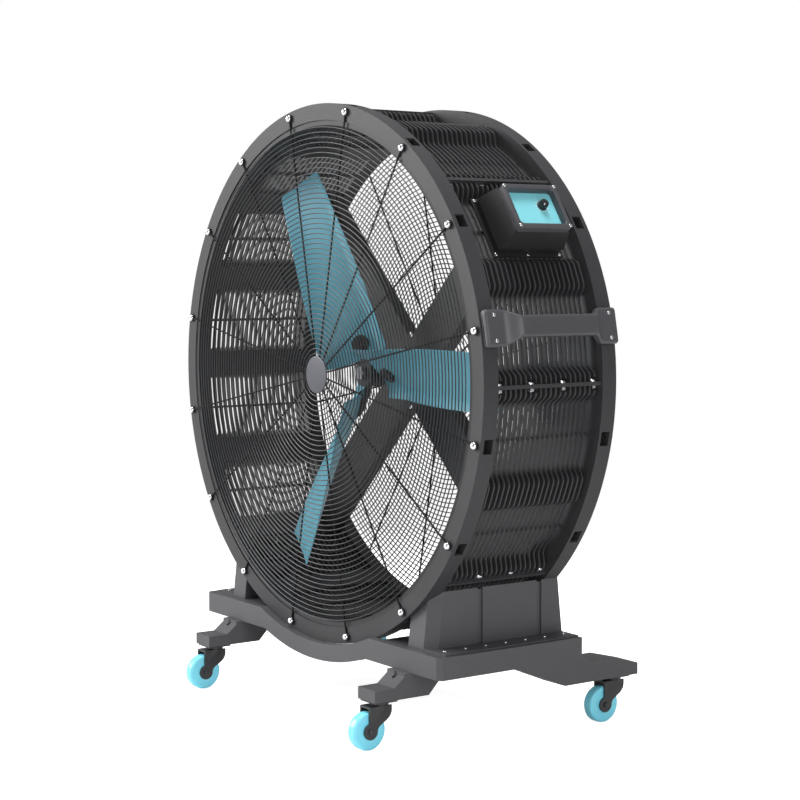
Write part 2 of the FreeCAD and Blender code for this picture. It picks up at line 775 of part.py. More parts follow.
def make_control_box():
    frame_bottom = box_face_height - frame_depth
    floor = box_base_height - box_plinth_height
    flange_bottom = floor - box_flange_thickness
    shell = tapered(0.0, box_base_height, frame_bottom)
    shell = shell.cut(tapered(box_wall, box_base_height, frame_bottom + overrun))
    plinth_length = box_base_length - 2 * box_plinth_step
    plinth_width = box_base_width - 2 * box_plinth_step
    plinth = slab(plinth_length, plinth_width, floor, box_base_height)
    plinth = plinth.cut(slab(plinth_length - 2 * box_wall, plinth_width - 2 * box_wall, floor, box_base_height))
    plate = slab(box_flange_length, box_flange_width, flange_bottom, floor)
    skirt = slab(box_skirt_length, box_skirt_width, rib_low_radius / 2, flange_bottom)
    inner = slab(box_skirt_length - 2 * box_wall, box_skirt_width - 2 * box_wall, 0, flange_bottom)
    drum = rod(rib_low_radius + seat_clearance, V(0, -box_flange_length, 0), AXIS_Y, 2 * box_flange_length)
    skirt = skirt.cut([inner, drum])
    gland_z = (box_base_height + box_wall + frame_bottom) / 2
    gland_bore = rod(gland_radius / 2 + hole_clearance, V(0, 0, gland_z), AXIS_Y, box_base_length)
    screw_run = box_flange_length - 4 * screw_head_radius
    screw_rise = box_flange_width - 3 * screw_head_radius
    flange_corners = corner_places(screw_run, screw_rise, floor)
    flange_corners += [V(side * screw_rise / 2, 0, floor) for side in (-1, 1)]
    hole = screw_radius + hole_clearance
    holes = [rod(hole, at - AXIS_Z * screw_length, AXIS_Z, 2 * screw_length) for at in flange_corners]
    write("control_box", control_place(shell.multiFuse([plinth, plate, skirt]).cut([gland_bore] + holes)))

    window = slab(window_length, window_width, frame_bottom - overrun, box_face_height + overrun)
    bezel = slab(box_top_length, box_top_width, frame_bottom, box_face_height).cut(window)
    bezel_length = (box_top_length + window_length) / 2
    bezel_width = (box_top_width + window_width) / 2
    bezel_corners = corner_places(bezel_length, bezel_width, box_face_height)
    bezel_holes = [rod(hole, at - AXIS_Z * screw_length, AXIS_Z, screw_length + overrun) for at in bezel_corners]
    write("control_panel_frame", control_place(bezel.cut(bezel_holes)))
    screws = [control_place(screw(at, AXIS_Z)) for at in bezel_corners]
    head = (screw_head_radius, screw_head_height)
    screws += [control_place(bolt(screw_radius, flange_screw_length, *head, at, AXIS_Z)) for at in flange_corners]

    panel_top = frame_bottom
    panel_bottom = panel_top - panel_thickness
    panel = slab(window_length + 2 * panel_ledge, window_width + 2 * panel_ledge, panel_bottom, panel_top)
    bush_radius = spindle_radius * 2
    knob_at = V(knob_down, knob_along, 0)
    bore_start = knob_at + V(0, 0, panel_bottom - overrun)
    bush_bore = rod(bush_radius + seat_clearance, bore_start, AXIS_Z, panel_thickness + 2 * overrun)
    write("control_panel", control_place(panel.cut(bush_bore)))

    pot = rod(pot_radius, knob_at + V(0, 0, panel_bottom - pot_height), AXIS_Z, pot_height)
    bush = rod(bush_radius, knob_at + V(0, 0, panel_bottom), AXIS_Z, panel_thickness)
    spindle_depth = pot_height / 2
    bore_start = knob_at + V(0, 0, panel_bottom - spindle_depth)
    spindle_bore = rod(spindle_radius + running_clearance, bore_start, AXIS_Z, pot_height)
    write("speed_potentiometer", control_place(pot.fuse(bush).cut(spindle_bore)))
    knob_bottom = panel_top + knob_gap
    cap = domed_head(knob_radius, knob_height, knob_at + V(0, 0, knob_bottom), AXIS_Z)
    spindle_start = panel_bottom - spindle_depth + knob_gap
    spindle_length = knob_bottom - spindle_start + knob_height / 2
    spindle = rod(spindle_radius, knob_at + V(0, 0, spindle_start), AXIS_Z, spindle_length)
    knob_top = knob_bottom + knob_height
    half_line = pointer_width / 2
    pointer = box(-half_line, half_line, -knob_radius - overrun, -knob_radius / 3,
                  knob_top - pointer_depth, knob_top + overrun)
    pointer.rotate(V(0, 0, 0), AXIS_Z, pointer_rest_turn)
    pointer.translate(knob_at)
    write("speed_knob", control_place(cap.cut(pointer).fuse(spindle)))

    board_bottom = floor + standoff_height
    board_top = board_bottom + board_thickness
    board = slab(board_length, board_width, board_bottom, board_top)
    posts = [rod(standoff_radius, V(at.x, at.y, floor), AXIS_Z, standoff_height)
             for at in corner_places(board_length - 4 * standoff_radius, board_width - 4 * standoff_radius, floor)]
    sink = box(-board_width / 3, 0, -board_length / 3, 0, board_top, board_top + heat_sink_height)
    write("drive_board", control_place(board.multiFuse(posts + [sink])))

    wall_y = (box_base_length + box_top_length) / 4
    stem = rod(gland_radius / 2, V(0, wall_y - 2 * box_wall, gland_z), AXIS_Y, 2 * box_wall)
    nut = rod(gland_radius, V(0, wall_y + box_wall / 2, gland_z), AXIS_Y, gland_length)
    outside = tapered(-seat_clearance, box_base_height, frame_bottom)
    hole_y = rod(gland_radius / 3, V(0, wall_y - 3 * box_wall, gland_z), AXIS_Y, 2 * gland_length + 3 * box_wall)
    collar = rod(gland_radius, V(0, wall_y - box_wall, gland_z), AXIS_Y, 2 * box_wall).cut(outside)
    write("cable_gland", control_place(stem.multiFuse([nut, collar]).cut(hole_y)))
    return screws


# Side handle: one moulded bar standing off the wall, screwed to both rims
def make_handle():
    bar_inner = drum_radius + handle_finger_gap
    bar_outer = bar_inner + handle_bar_thickness
    foot_top = drum_radius + handle_foot_depth
    foot_start = -half_depth + rim_lip_depth
    foot_end = foot_start + handle_foot_length
    slope_end = foot_end + handle_slope_length
    inside = rod(saddle_radius, V(0, -drum_depth, 0), AXIS_Y, 2 * drum_depth)
    half_foot = handle_foot_height / 2
    half_bar = handle_bar_height / 2
    bar_points = [V(-half_bar, slope_end, bar_inner), V(-half_bar, slope_end, bar_outer)]
    bar_points += [V(-half_bar, -slope_end, bar_outer), V(-half_bar, -slope_end, bar_inner)]
    bar = prism(bar_points, V(handle_bar_height, 0, 0))
    long_edges = [e for e in bar.Edges if abs(e.tangentAt(e.FirstParameter).y) > 0.99]
    pieces = [bar.makeFillet(handle_round, long_edges)]
    for side in (-1, 1):
        foot = box(-half_foot, half_foot, foot_start, foot_end, drum_radius / 2, foot_top)
        slope_start = drum_radius - handle_slope_sink
        foot_face = [V(-half_foot, foot_end, slope_start), V(half_foot, foot_end, slope_start)]
        foot_face += [V(half_foot, foot_end, foot_top), V(-half_foot, foot_end, foot_top)]
        bar_face = [V(-half_bar, slope_end, bar_inner), V(half_bar, slope_end, bar_inner)]
        bar_face += [V(half_bar, slope_end, bar_outer), V(-half_bar, slope_end, bar_outer)]
        sections = [Part.makePolygon(face + [face[0]]) for face in (foot_face, bar_face)]
        slope = Part.makeLoft(sections, True, True)
        pair = foot.fuse(slope)
        pieces.append(pair if side < 0 else pair.mirror(V(0, 0, 0), AXIS_Y))
    handle = pieces[0].multiFuse(pieces[1:]).cut(inside)
    seats = []
    foot_middle = (foot_start + foot_end) / 2
    spread = half_foot - 3 * screw_head_radius
    for side in (-1, 1):
        for x in (-spread, spread):
            seats.append(V(x, side * foot_middle, foot_top))
    depth = 2 * handle_foot_depth
    holes = [rod(screw_radius + hole_clearance, at - AXIS_Z * depth, AXIS_Z, depth + overrun) for at in seats]
    place = handle_angle - 90.0
    write("side_handle", lifted(turned(handle.cut(holes), place)))
    return [lifted(turned(screw(at, AXIS_Z), place)) for at in seats]


# Base: two side beams tied by dipped cross-beams, with uprights that cradle the drum
def dipped_fascia(half_width, y0, y1):
    outer_dip = drum_radius + dip_clearance + dip_depth
    inner_dip = drum_radius + dip_clearance
    body = box(-half_width, half_width, y0, y1, beam_bottom, beam_top)
    centre = V(0, y0, axis_height)
    bowl = rod(outer_dip, centre, AXIS_Y, y1 - y0)
    bowl = bowl.common(box(-half_width, half_width, y0, y1, 0, beam_bottom + beam_height / 2))
    room = rod(inner_dip, centre - AXIS_Y * overrun, AXIS_Y, y1 - y0 + 2 * overrun)
    return body.fuse(bowl).cut(room)


def front_crossbeam():
    fascia_back = beam_front + fascia_thickness
    fascia = dipped_fascia(base_half_width, beam_front, fascia_back)
    corners = [e for e in fascia.Edges if is_front_corner(e)]
    fascia = fascia.makeChamfer(fascia_chamfer, corners)
    rear_rib = dipped_fascia(side_beam_inner, fascia_back, fascia_back + fascia_thickness)
    return fascia.fuse(rear_rib)


def is_front_corner(edge):
    at = edge.CenterOfMass
    upright = abs(edge.tangentAt(edge.FirstParameter).z) > 0.99
    return upright and abs(abs(at.x) - base_half_width) < match and abs(at.y - beam_front) < match


def side_beam():
    start = beam_front + fascia_thickness
    shelf = deck_top + rear_step_height
    end = beam_rear + rear_outrigger_reach
    points = [(start, beam_bottom), (beam_rear - rear_rise_inset, beam_bottom)]
    points += [(beam_rear - rear_knee_inset, caster_height), (end, caster_height), (end, deck_top)]
    points += [(beam_rear + rear_slope_reach, shelf), (beam_rear + rear_shelf_reach, shelf)]
    points += [(beam_rear, shelf + rear_step_height)]
    points += [(beam_rear, beam_top), (start, beam_top)]
    outer_start = base_half_width - outrigger_width
    rail = prism([V(outer_start, y, z) for y, z in points], V(outrigger_width, 0, 0))
    inner = box(side_beam_inner, outer_start, start, beam_rear, beam_bottom, beam_top)
    hollow = box(side_beam_inner - overrun, base_half_width - base_wall, start + base_wall, beam_rear - base_wall,
                 beam_bottom + base_wall, beam_top - base_wall)
    return rail.fuse(inner).cut(hollow)


def front_outrigger():
    shelf = deck_top + front_slope_rise
    end = beam_front - front_outrigger_reach
    keel = beam_front + front_keel_inset
    slope = beam_front - front_slope_reach
    slope_top = slope + front_slope_run
    points = [(end, caster_height), (keel, caster_height), (keel + front_keel_run, beam_bottom)]
    points += [(slope_top, beam_bottom), (slope_top, shelf), (slope, deck_top), (end, deck_top)]
    start = front_outrigger_center - front_outrigger_width / 2
    body = prism([V(start, y, z) for y, z in points], V(front_outrigger_width, 0, 0))
    hole_start = V(front_outrigger_center, beam_front - tie_down_reach, caster_height - overrun)
    hole = rod(tie_down_radius, hole_start, AXIS_Z, beam_bottom)
    return body.cut(hole)


def upright():
    base = beam_top
    drum_z = axis_height - math.sqrt(saddle_radius ** 2 - upright_outer ** 2)
    inner_z = axis_height - math.sqrt(saddle_radius ** 2 - upright_inner ** 2)
    top = max(drum_z, inner_z)
    outline = [(upright_front, base), (upright_rear, base)]
    outline += [(upright_rear - upright_taper, top), (upright_front + upright_taper, top)]
    body = prism([V(upright_inner, y, z) for y, z in outline], V(upright_width, 0, 0))
    front_edge = [e for e in body.Edges if is_upright_corner(e)]
    body = body.makeChamfer(upright_chamfer, front_edge)
    for offset in upright_groove_offsets:
        y = upright_front + offset
        groove = box(upright_outer - upright_groove_depth, upright_outer + overrun, y - upright_groove_width / 2,
                     y + upright_groove_width / 2, base + upright_flange_thickness, axis_height)
        body = body.cut(groove)
    drum_start = V(0, upright_front - overrun, axis_height)
    drum = rod(saddle_radius, drum_start, AXIS_Y, upright_rear - upright_front + 2 * overrun)
    hollow_side = upright_outer - upright_groove_depth - base_wall
    hollow_front = upright_front + upright_chamfer + base_wall
    hollow_rear = upright_rear - upright_taper - base_wall
    hollow_top = inner_z - base_wall
    hollow = box(upright_inner + base_wall, hollow_side, hollow_front, hollow_rear, base - overrun, hollow_top)
    flange_plate = box(upright_inner, upright_outer + upright_flange_reach, upright_front, upright_rear, base,
                       base + upright_flange_thickness)
    holes = [rod(screw_radius + hole_clearance, at - AXIS_Z * screw_length, AXIS_Z, 2 * screw_length)
             for at in base_screw_seats()]
    return body.fuse(flange_plate).cut([drum, hollow] + holes)


def is_upright_corner(edge):
    at = edge.CenterOfMass
    middle = upright_front + upright_taper / 2
    return abs(at.x - upright_outer) < match and abs(at.y - middle) < match


def base_screw_seats():
    run = upright_rear - upright_front - 2 * base_screw_margin
    x = upright_outer + upright_flange_reach / 2
    z = beam_top + upright_flange_thickness
    return [V(x, upright_front + base_screw_margin + run * index / (base_screw_count - 1), z)
            for index in range(base_screw_count)]


def make_base():
    write("front_crossbeam", front_crossbeam())
    rear_beam = dipped_fascia(side_beam_inner, beam_rear - 2 * fascia_thickness, beam_rear)
    write("rear_crossbeam", rear_beam)
    for maker, name in ((drilled_side_beam, "side_beam"), (upright, "upright")):
        piece = maker()
        write(name + "_right", piece)
        write(name + "_left", mirrored_x(piece))
    outrigger = front_outrigger()
    write("front_outriggers", [outrigger, mirrored_x(outrigger)])
    screws = [screw(at, AXIS_Z) for at in base_screw_seats()]
    return screws + [mirrored_x(piece) for piece in screws]


def drilled_side_beam():
    holes = [rod(screw_radius + hole_clearance, at - AXIS_Z * screw_length * 2, AXIS_Z, screw_length * 2)
             for at in base_screw_seats()]
    return side_beam().cut(holes)


# Casters: swivel forks under the four outrigger ends, each with a solid wheel on an axle
def caster_pivots():
    front = front_outrigger_center
    front_y = beam_front - front_pivot_reach
    rear = base_half_width - rear_pivot_inset
    rear_y = beam_rear + rear_pivot_reach
    return [V(front, front_y, 0), V(-front, front_y, 0), V(rear, rear_y, 0), V(-rear, rear_y, 0)]


def caster_plate():
    half = caster_plate_size / 2
    bottom = caster_height - caster_plate_thickness
    plate = box(-half, half, -half, half, bottom, caster_height)
    cup = rod(caster_cup_radius, V(0, 0, bottom - caster_cup_height), AXIS_Z, caster_cup_height)
    bore_bottom = bottom - caster_cup_height - overrun
    bore_depth = caster_cup_height + caster_plate_thickness
    bore = rod(kingpin_radius + running_clearance, V(0, 0, bore_bottom), AXIS_Z, bore_depth)
    return plate.fuse(cup).cut(bore)


def leg_outline(x, nose, top):
    # Straight down at the front, curved in towards the axle at the rear
    back = caster_cup_radius
    low_front = V(x, nose, wheel_radius)
    low_back = V(x, -caster_trail + fork_leg_end_radius, wheel_radius)
    shoulder = V(x, back, (top + wheel_radius) / 2 + fork_leg_end_radius)
    bend = wheel_radius + fork_leg_end_radius
    curve = Part.BezierCurve()
    curve.setPoles([low_back, V(x, low_back.y, bend), V(x, back, bend), shoulder])
    corners = [shoulder, V(x, back, top), V(x, nose, top), low_front, low_back]
    sides = [Part.makeLine(a, b) for a, b in zip(corners, corners[1:])]
    return sides + [curve.toShape()]


def caster_fork():
    top = caster_height - caster_plate_thickness - caster_cup_height - swivel_gap
    crown_bottom = top - fork_plate_thickness
    crown = rod(caster_cup_radius, V(0, 0, crown_bottom), AXIS_Z, fork_plate_thickness)
    nose = -caster_trail - caster_plate_thickness
    shelf = box(-fork_outer, fork_outer, nose, 0, crown_bottom, top)
    pin = rod(kingpin_radius, V(0, 0, crown_bottom), AXIS_Z, fork_plate_thickness + swivel_gap + caster_cup_height)
    legs = []
    for side in (-1, 1):
        x = side * fork_outer if side < 0 else fork_inner
        axle_at = V(x, -caster_trail, wheel_radius)
        end = rod(fork_leg_end_radius, axle_at, AXIS_X, fork_leg_thickness)
        legs.append(solid_of(leg_outline(x, nose, top), V(fork_leg_thickness, 0, 0)))
        legs.append(end)
    bore_start = V(-2 * fork_outer, -caster_trail, wheel_radius)
    bore = rod(axle_radius + seat_clearance, bore_start, AXIS_X, 4 * fork_outer)
    return crown.multiFuse([shelf, pin] + legs).cut(bore)


def caster_wheel():
    half = wheel_width / 2
    body = rod(wheel_radius, V(-half, -caster_trail, wheel_radius), AXIS_X, wheel_width)
    rims = [e for e in body.Edges if abs(abs(e.CenterOfMass.x) - half) < match and e.Length > wheel_radius * 4]
    body = body.makeFillet(wheel_round, rims)
    bore_start = V(-wheel_width, -caster_trail, wheel_radius)
    bore = rod(axle_radius + running_clearance, bore_start, AXIS_X, 2 * wheel_width)
    return body.cut(bore)


def caster_axle():
    pin = rod(axle_radius, V(-fork_outer, -caster_trail, wheel_radius), AXIS_X, 2 * fork_outer)
    ends = [(V(side * fork_outer, -caster_trail, wheel_radius), AXIS_X * side) for side in (-1, 1)]
    heads = [domed_head(axle_head_radius, axle_head_height, *end) for end in ends]
    return pin.multiFuse(heads)


def make_casters():
    makers = ((caster_fork, "caster_fork"), (caster_wheel, "caster_wheel"), (caster_axle, "caster_axle"))
    places = (("front_right", 0), ("front_left", 1), ("rear_right", 2), ("rear_left", 3))
    pivots = caster_pivots()
    for maker, name in makers:
        piece = maker()
        for place, index in places:
            copy = piece.copy()
            copy.translate(pivots[index])
            write(name + "_" + place, copy)
    plates = []
    plate = caster_plate()
    for pivot in pivots:
        copy = plate.copy()
        copy.translate(pivot)
        plates.append(copy)
    write("caster_plates", plates)


os.makedirs("parts", exist_ok=True)
make_drum()
make_guards()
make_motor()
make_impeller()
box_screws = make_control_box()
handle_screws = make_handle()
write("body_screws", box_screws + handle_screws + make_base())
make_casters()
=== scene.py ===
# Large mobile drum fan: ribbed drum, wire guards, teal impeller, control box, base on casters
import math

import bmesh
import bpy
import numpy as np
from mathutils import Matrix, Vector


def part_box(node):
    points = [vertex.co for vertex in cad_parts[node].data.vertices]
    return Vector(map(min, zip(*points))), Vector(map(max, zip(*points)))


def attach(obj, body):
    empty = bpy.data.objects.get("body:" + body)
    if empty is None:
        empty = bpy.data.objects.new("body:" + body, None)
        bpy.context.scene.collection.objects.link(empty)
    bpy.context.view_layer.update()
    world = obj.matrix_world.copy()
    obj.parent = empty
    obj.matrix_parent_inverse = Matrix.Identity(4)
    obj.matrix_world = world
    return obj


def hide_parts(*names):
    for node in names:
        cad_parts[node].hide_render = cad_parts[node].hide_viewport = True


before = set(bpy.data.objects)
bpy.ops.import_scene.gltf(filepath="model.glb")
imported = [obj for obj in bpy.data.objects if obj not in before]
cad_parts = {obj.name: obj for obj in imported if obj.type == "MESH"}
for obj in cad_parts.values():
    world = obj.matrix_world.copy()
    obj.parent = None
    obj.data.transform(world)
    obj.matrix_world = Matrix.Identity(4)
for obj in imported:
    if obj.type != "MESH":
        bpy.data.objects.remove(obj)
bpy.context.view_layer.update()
print("frame loaded:", len(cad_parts), "nodes")

# Sizes read from the frame, in metres, and the circle of guard bolts on each rim
guardLow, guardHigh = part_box("front_guard")
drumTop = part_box("drum_segment_2")[1]
axisZ = (guardLow[2] + guardHigh[2]) / 2
drum = {
    "halfDepth": drumTop[1],
    "segments": 8,
    "boltCircle": 0.7315,
    "bolts": 16,
    "boltStep": 22.5,
}
boltAngles = drum["boltStep"] / 2 + drum["boltStep"] * np.arange(drum["bolts"])
depthAxis = np.array([0, 1.0, 0])
faceSides = (-1, 1)
# How meshes are made: distances in metres, angles in degrees
meshing = {"weld": 1e-6, "digits": 6, "smooth": 40, "flat": 0.4, "sharp": 28, "bevelSteps": 2}


# A colour from sRGB hex to linear light
def toLinear(hexText):
    rgb = np.array([int(hexText[i:i + 2], 16) for i in (1, 3, 5)]) / 255
    linear = np.where(rgb <= 0.04045, rgb / 12.92, ((rgb + 0.055) / 1.055) ** 2.4)
    return tuple(linear) + (1.0,)


# One node with its settings, values and links
def addNode(tree, kind, settings=None, values=None, links=None):
    node = tree.nodes.new(kind)
    for key, value in (settings or {}).items():
        setattr(node, key, value)
    for key, value in (values or {}).items():
        node.inputs[key].default_value = value
    for key, (source, output) in (links or {}).items():
        tree.links.new(source.outputs[output], node.inputs[key])
    return node


def fullTurn(count):
    return np.arange(count) * 2 * np.pi / count


# A stack of n grids (n, rows, columns, 3) becomes quads
# Columns close on themselves; rows close too with wrapRows, and without it both ends are capped
def gridFaces(count, rows, cols, wrapRows):
    r = np.arange(rows if wrapRows else rows - 1)
    r0, c0 = np.meshgrid(r, np.arange(cols), indexing="ij")
    r1 = (r0 + 1) % rows
    c1 = (c0 + 1) % cols
    quad = np.stack([r0 * cols + c0, r0 * cols + c1, r1 * cols + c1, r1 * cols + c0], -1)
    starts = (np.arange(count) * rows * cols)[:, None, None]
    return (quad.reshape(-1, 4)[None] + starts).reshape(-1, 4)


def gridObject(name, points, wrapRows=False, smooth=meshing["smooth"]):
    pts = np.asarray(points, float)
    if pts.ndim == 3:
        pts = pts[None]
    count, rows, cols = pts.shape[:3]
    faces = gridFaces(count, rows, cols, wrapRows).tolist()
    if not wrapRows:
        base = np.arange(count) * rows * cols
        ring = np.arange(cols)
        faces += (base[:, None] + ring[::-1]).tolist()
        faces += (base[:, None] + (rows - 1) * cols + ring).tolist()
    return meshObject(name, pts.reshape(-1, 3), faces, smooth)


def meshObject(name, verts, faces, smooth=meshing["smooth"]):
    mesh = bpy.data.meshes.new(name)
    mesh.from_pydata(np.asarray(verts).tolist(), [], faces)
    clean = bmesh.new()
    clean.from_mesh(mesh)
    bmesh.ops.remove_doubles(clean, verts=clean.verts, dist=meshing["weld"])
    bmesh.ops.recalc_face_normals(clean, faces=clean.faces)
    clean.to_mesh(mesh)
    clean.free()
    mesh.shade_smooth()
    mesh.set_sharp_from_angle(angle=math.radians(smooth))
    obj = bpy.data.objects.new(name, mesh)
    bpy.context.scene.collection.objects.link(obj)
    return obj


# The corners of a mesh as an array
def meshPoints(mesh):
    co = np.empty(len(mesh.vertices) * 3)
    mesh.vertices.foreach_get("co", co)
    return co.reshape(-1, 3)


def joined(name, objects):
    verts = []
    faces = []
    start = 0
    for obj in objects:
        verts.append(meshPoints(obj.data))
        faces += [[start + v for v in poly.vertices] for poly in obj.data.polygons]
        start += len(obj.data.vertices)
        bpy.data.objects.remove(obj)
    return meshObject(name, np.concatenate(verts), faces)


# An axis at unit length and two directions square to it
def sideAxes(axis):
    axis = np.asarray(axis, float) / np.linalg.norm(axis)
    helper = np.array([0, 0, 1.0]) if abs(axis[2]) < 0.9 else np.array([1.0, 0, 0])
    first = np.cross(helper, axis)
    first /= np.linalg.norm(first)
    return axis, first, np.cross(axis, first)


# A profile of (radius, height) pairs turned about an axis through each place
def turnedShape(name, profile, places, axes, sides, smooth=meshing["smooth"]):
    profile = np.asarray(profile, float)
    turn = fullTurn(sides)
    stack = []
    for place, axis in zip(places, axes):
        along, first, second = sideAxes(axis)
        spread = np.cos(turn)[:, None] * first + np.sin(turn)[:, None] * second
        stack.append(np.asarray(place) + profile[:, None, :1] * spread + profile[:, None, 1:] * along)
    return gridObject(name, np.array(stack), smooth=smooth)


# Points on the drum at a radius, at angles from +X and at one depth
def onDrum(radius, degrees, y):
    a = np.radians(degrees)
    return np.stack([radius * np.cos(a), np.full_like(a, y), axisZ + radius * np.sin(a)], -1)


# Directions away from the drum's axis and round it, at each angle
def drumAxes(turn):
    flat = np.zeros_like(turn)
    radial = np.stack([np.cos(turn), flat, np.sin(turn)], -1)
    return radial, np.stack([-np.sin(turn), flat, np.cos(turn)], -1)


# A copy of a CAD node with shared corners, so that curves shade smoothly and edges can be softened
def softCopy(node, edge):
    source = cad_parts[node].data
    loops = np.empty(len(source.loops), dtype=np.int64)
    source.loops.foreach_get("vertex_index", loops)
    rounded = np.round(meshPoints(source), meshing["digits"])
    points, shared = np.unique(rounded, axis=0, return_inverse=True)
    tris = shared.reshape(-1)[loops].reshape(-1, 3)
    a, b, c = tris.T
    whole = (a != b) & (b != c) & (a != c)
    mesh = bpy.data.meshes.new(node + "_soft")
    mesh.from_pydata(points.tolist(), [], tris[whole].tolist())
    flat = bmesh.new()
    flat.from_mesh(mesh)
    bmesh.ops.dissolve_limit(flat, angle_limit=math.radians(meshing["flat"]),
                             verts=flat.verts, edges=flat.edges)
    flat.to_mesh(mesh)
    flat.free()
    mesh.shade_smooth()
    mesh.set_sharp_from_angle(angle=math.radians(meshing["sharp"]))
    obj = bpy.data.objects.new(node + "_soft", mesh)
    bpy.context.scene.collection.objects.link(obj)
    bevel = obj.modifiers.new("edge", "BEVEL")
    bevel.width = edge
    bevel.segments = meshing["bevelSteps"]
    bevel.limit_method = "ANGLE"
    bevel.angle_limit = math.radians(meshing["sharp"])
    bevel.harden_normals = True
    return obj


def finishPiece(obj, material, body, *nodes):
    obj.data.materials.clear()
    obj.data.materials.append(material)
    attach(obj, body)
    if nodes:
        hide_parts(*nodes)


# Materials start from object coordinates in metres, so a size in mm gives a scale of 1000 / mm
texture = {"cloudDetail": 3.0, "cloudRoughness": 0.6, "fineDetail": 2.0,
           "smoother": 0.06, "rougher": 0.07, "reliefDivisor": 4000}


# A name, a pale and a dark tone, roughness, grain in mm, its bump, and the size of blotches in mm
# Sockets 6 and 7 are the two colours of a mix
# Sockets 1 and 2 are where a mapped range starts and ends, 3 and 4 what it gives there
def surface(name, pale, dark, roughness, grain, bump, blotch=220.0, values=None):
    mat = bpy.data.materials.new(name)
    mat.use_nodes = True
    tree = mat.node_tree
    tree.nodes.clear()
    coords = addNode(tree, "ShaderNodeTexCoord")
    place = {"Vector": (coords, "Object")}
    cloudValues = {"Scale": 1000 / blotch, "Detail": texture["cloudDetail"],
                   "Roughness": texture["cloudRoughness"]}
    clouds = addNode(tree, "ShaderNodeTexNoise", None, cloudValues, place)
    fineValues = {"Scale": 1000 / grain, "Detail": texture["fineDetail"]}
    fine = addNode(tree, "ShaderNodeTexNoise", None, fineValues, place)
    tone = addNode(tree, "ShaderNodeMix", {"data_type": "RGBA"},
                   {6: toLinear(dark), 7: toLinear(pale)}, {0: (clouds, "Fac")})
    ends = {3: roughness - texture["smoother"], 4: roughness + texture["rougher"]}
    polish = addNode(tree, "ShaderNodeMapRange", None, ends, {0: (fine, "Fac")})
    reliefValues = {"Strength": bump, "Distance": grain / texture["reliefDivisor"]}
    relief = addNode(tree, "ShaderNodeBump", None, reliefValues, {"Height": (fine, "Fac")})
    shader = addNode(tree, "ShaderNodeBsdfPrincipled", None, values,
                     {"Base Color": (tone, 2), "Roughness": (polish, 0), "Normal": (relief, "Normal")})
    addNode(tree, "ShaderNodeOutputMaterial", None, None, {"Surface": (shader, 0)})
    return mat


metal = {"Metallic": 1.0}
# Moulded polypropylene: charcoal, satin, a fine spark-eroded grain drawn 1.5 mm coarse so that it shows
drumPlastic = surface("moulded_polypropylene_charcoal", "#3a3a3c", "#303032", 0.5, 1.5, 0.25,
                      values={"Specular IOR Level": 0.32})
# The base is a paler mix of the same plastic
basePlastic = surface("moulded_polypropylene_grey", "#4f4e51", "#434245", 0.5, 1.5, 0.25)
# ABS of the handle and bezel: smoother; the box under the bezel is a blacker mix
boxPlastic = surface("moulded_abs_dark", "#49494d", "#3f3f43", 0.42, 1.2, 0.2)
shellPlastic = surface("moulded_abs_black", "#1c1c1e", "#161618", 0.5, 1.2, 0.2)
# Powder coat on the guards' rings: satin with a slight orange peel of 2 mm
wireCoat = surface("powder_coat_wire", "#1d1d20", "#161619", 0.38, 2.0, 0.15)
# The spokes and their eyes, under the rings, have a blacker and duller coat, the discs a paler one
spokeCoat = surface("powder_coat_black", "#0e0e10", "#09090a", 0.6, 2.0, 0.15,
                    values={"Specular IOR Level": 0.2})
discCoat = surface("powder_coat_disc", "#464650", "#3d3d46", 0.5, 2.0, 0.2)
# Black paint on pressed steel: eggshell sheen, faint roller texture
strutPaint = surface("black_paint_steel", "#232325", "#1a1a1c", 0.5, 2.5, 0.2)
# Black enamel on the casters' steel: glossier and smoother
casterPaint = surface("black_enamel_steel", "#343436", "#29292b", 0.38, 1.6, 0.15)
# Bright zinc plate: nearly a mirror, with faint clouding
brightPlate = surface("bright_zinc_plate", "#f2f2f4", "#dcdce0", 0.16, 3.0, 0.03, 40.0, metal)
# Machined steel of shafts and bearings
machinedSteel = surface("machined_steel", "#a8a8ac", "#8f8f94", 0.32, 0.8, 0.1, 60.0, metal)
# Sand-cast aluminium, painted, of the motor
castPaint = surface("painted_cast_aluminium", "#3a3a3d", "#2f2f32", 0.55, 1.8, 0.5)
# Stacked electrical steel of the stator and rotor
laminations = surface("electrical_steel", "#6d6660", "#57514c", 0.5, 0.7, 0.3, 50.0, metal)
# Glass-filled nylon of the blades: teal, satin, with broad faint clouds
bladeNylon = surface("glass_filled_nylon_teal", "#62a8bb", "#5496a9", 0.42, 2.2, 0.12, 300.0)
# Cast polyurethane: bright cyan, smooth, slightly waxy
wheelUrethane = surface("cast_polyurethane_cyan", "#88e3f7", "#76d7ef", 0.3, 3.0, 0.05, 90.0,
                        {"Subsurface Weight": 0.15, "Subsurface Scale": 0.004, "Coat Weight": 0.2})
# Printed polyester film of the panel and its white ink
panelFilm = surface("printed_polyester_film", "#86d6e0", "#7ccdd8", 0.34, 1.0, 0.08, 120.0)
panelInk = surface("white_screen_ink", "#eef6f6", "#e2eded", 0.5, 0.8, 0.05, 60.0)
# Phenolic knob, black and softly polished
knobPhenolic = surface("phenolic_black", "#232326", "#19191b", 0.3, 0.9, 0.1, 60.0)
# Dull black of the rings under the guard bolts: partly rubber washers, partly painted shadow round each
# head
washerAndShadowBlack = surface("black_washer_and_painted_shadow", "#1d1d1f", "#151516", 0.7, 1.0, 0.3, 60.0)
# Glass-epoxy laminate of the drive board, green
boardLaminate = surface("circuit_board_green", "#2f6b45", "#24563a", 0.45, 1.0, 0.2, 60.0)
print("materials made:", len(bpy.data.materials))

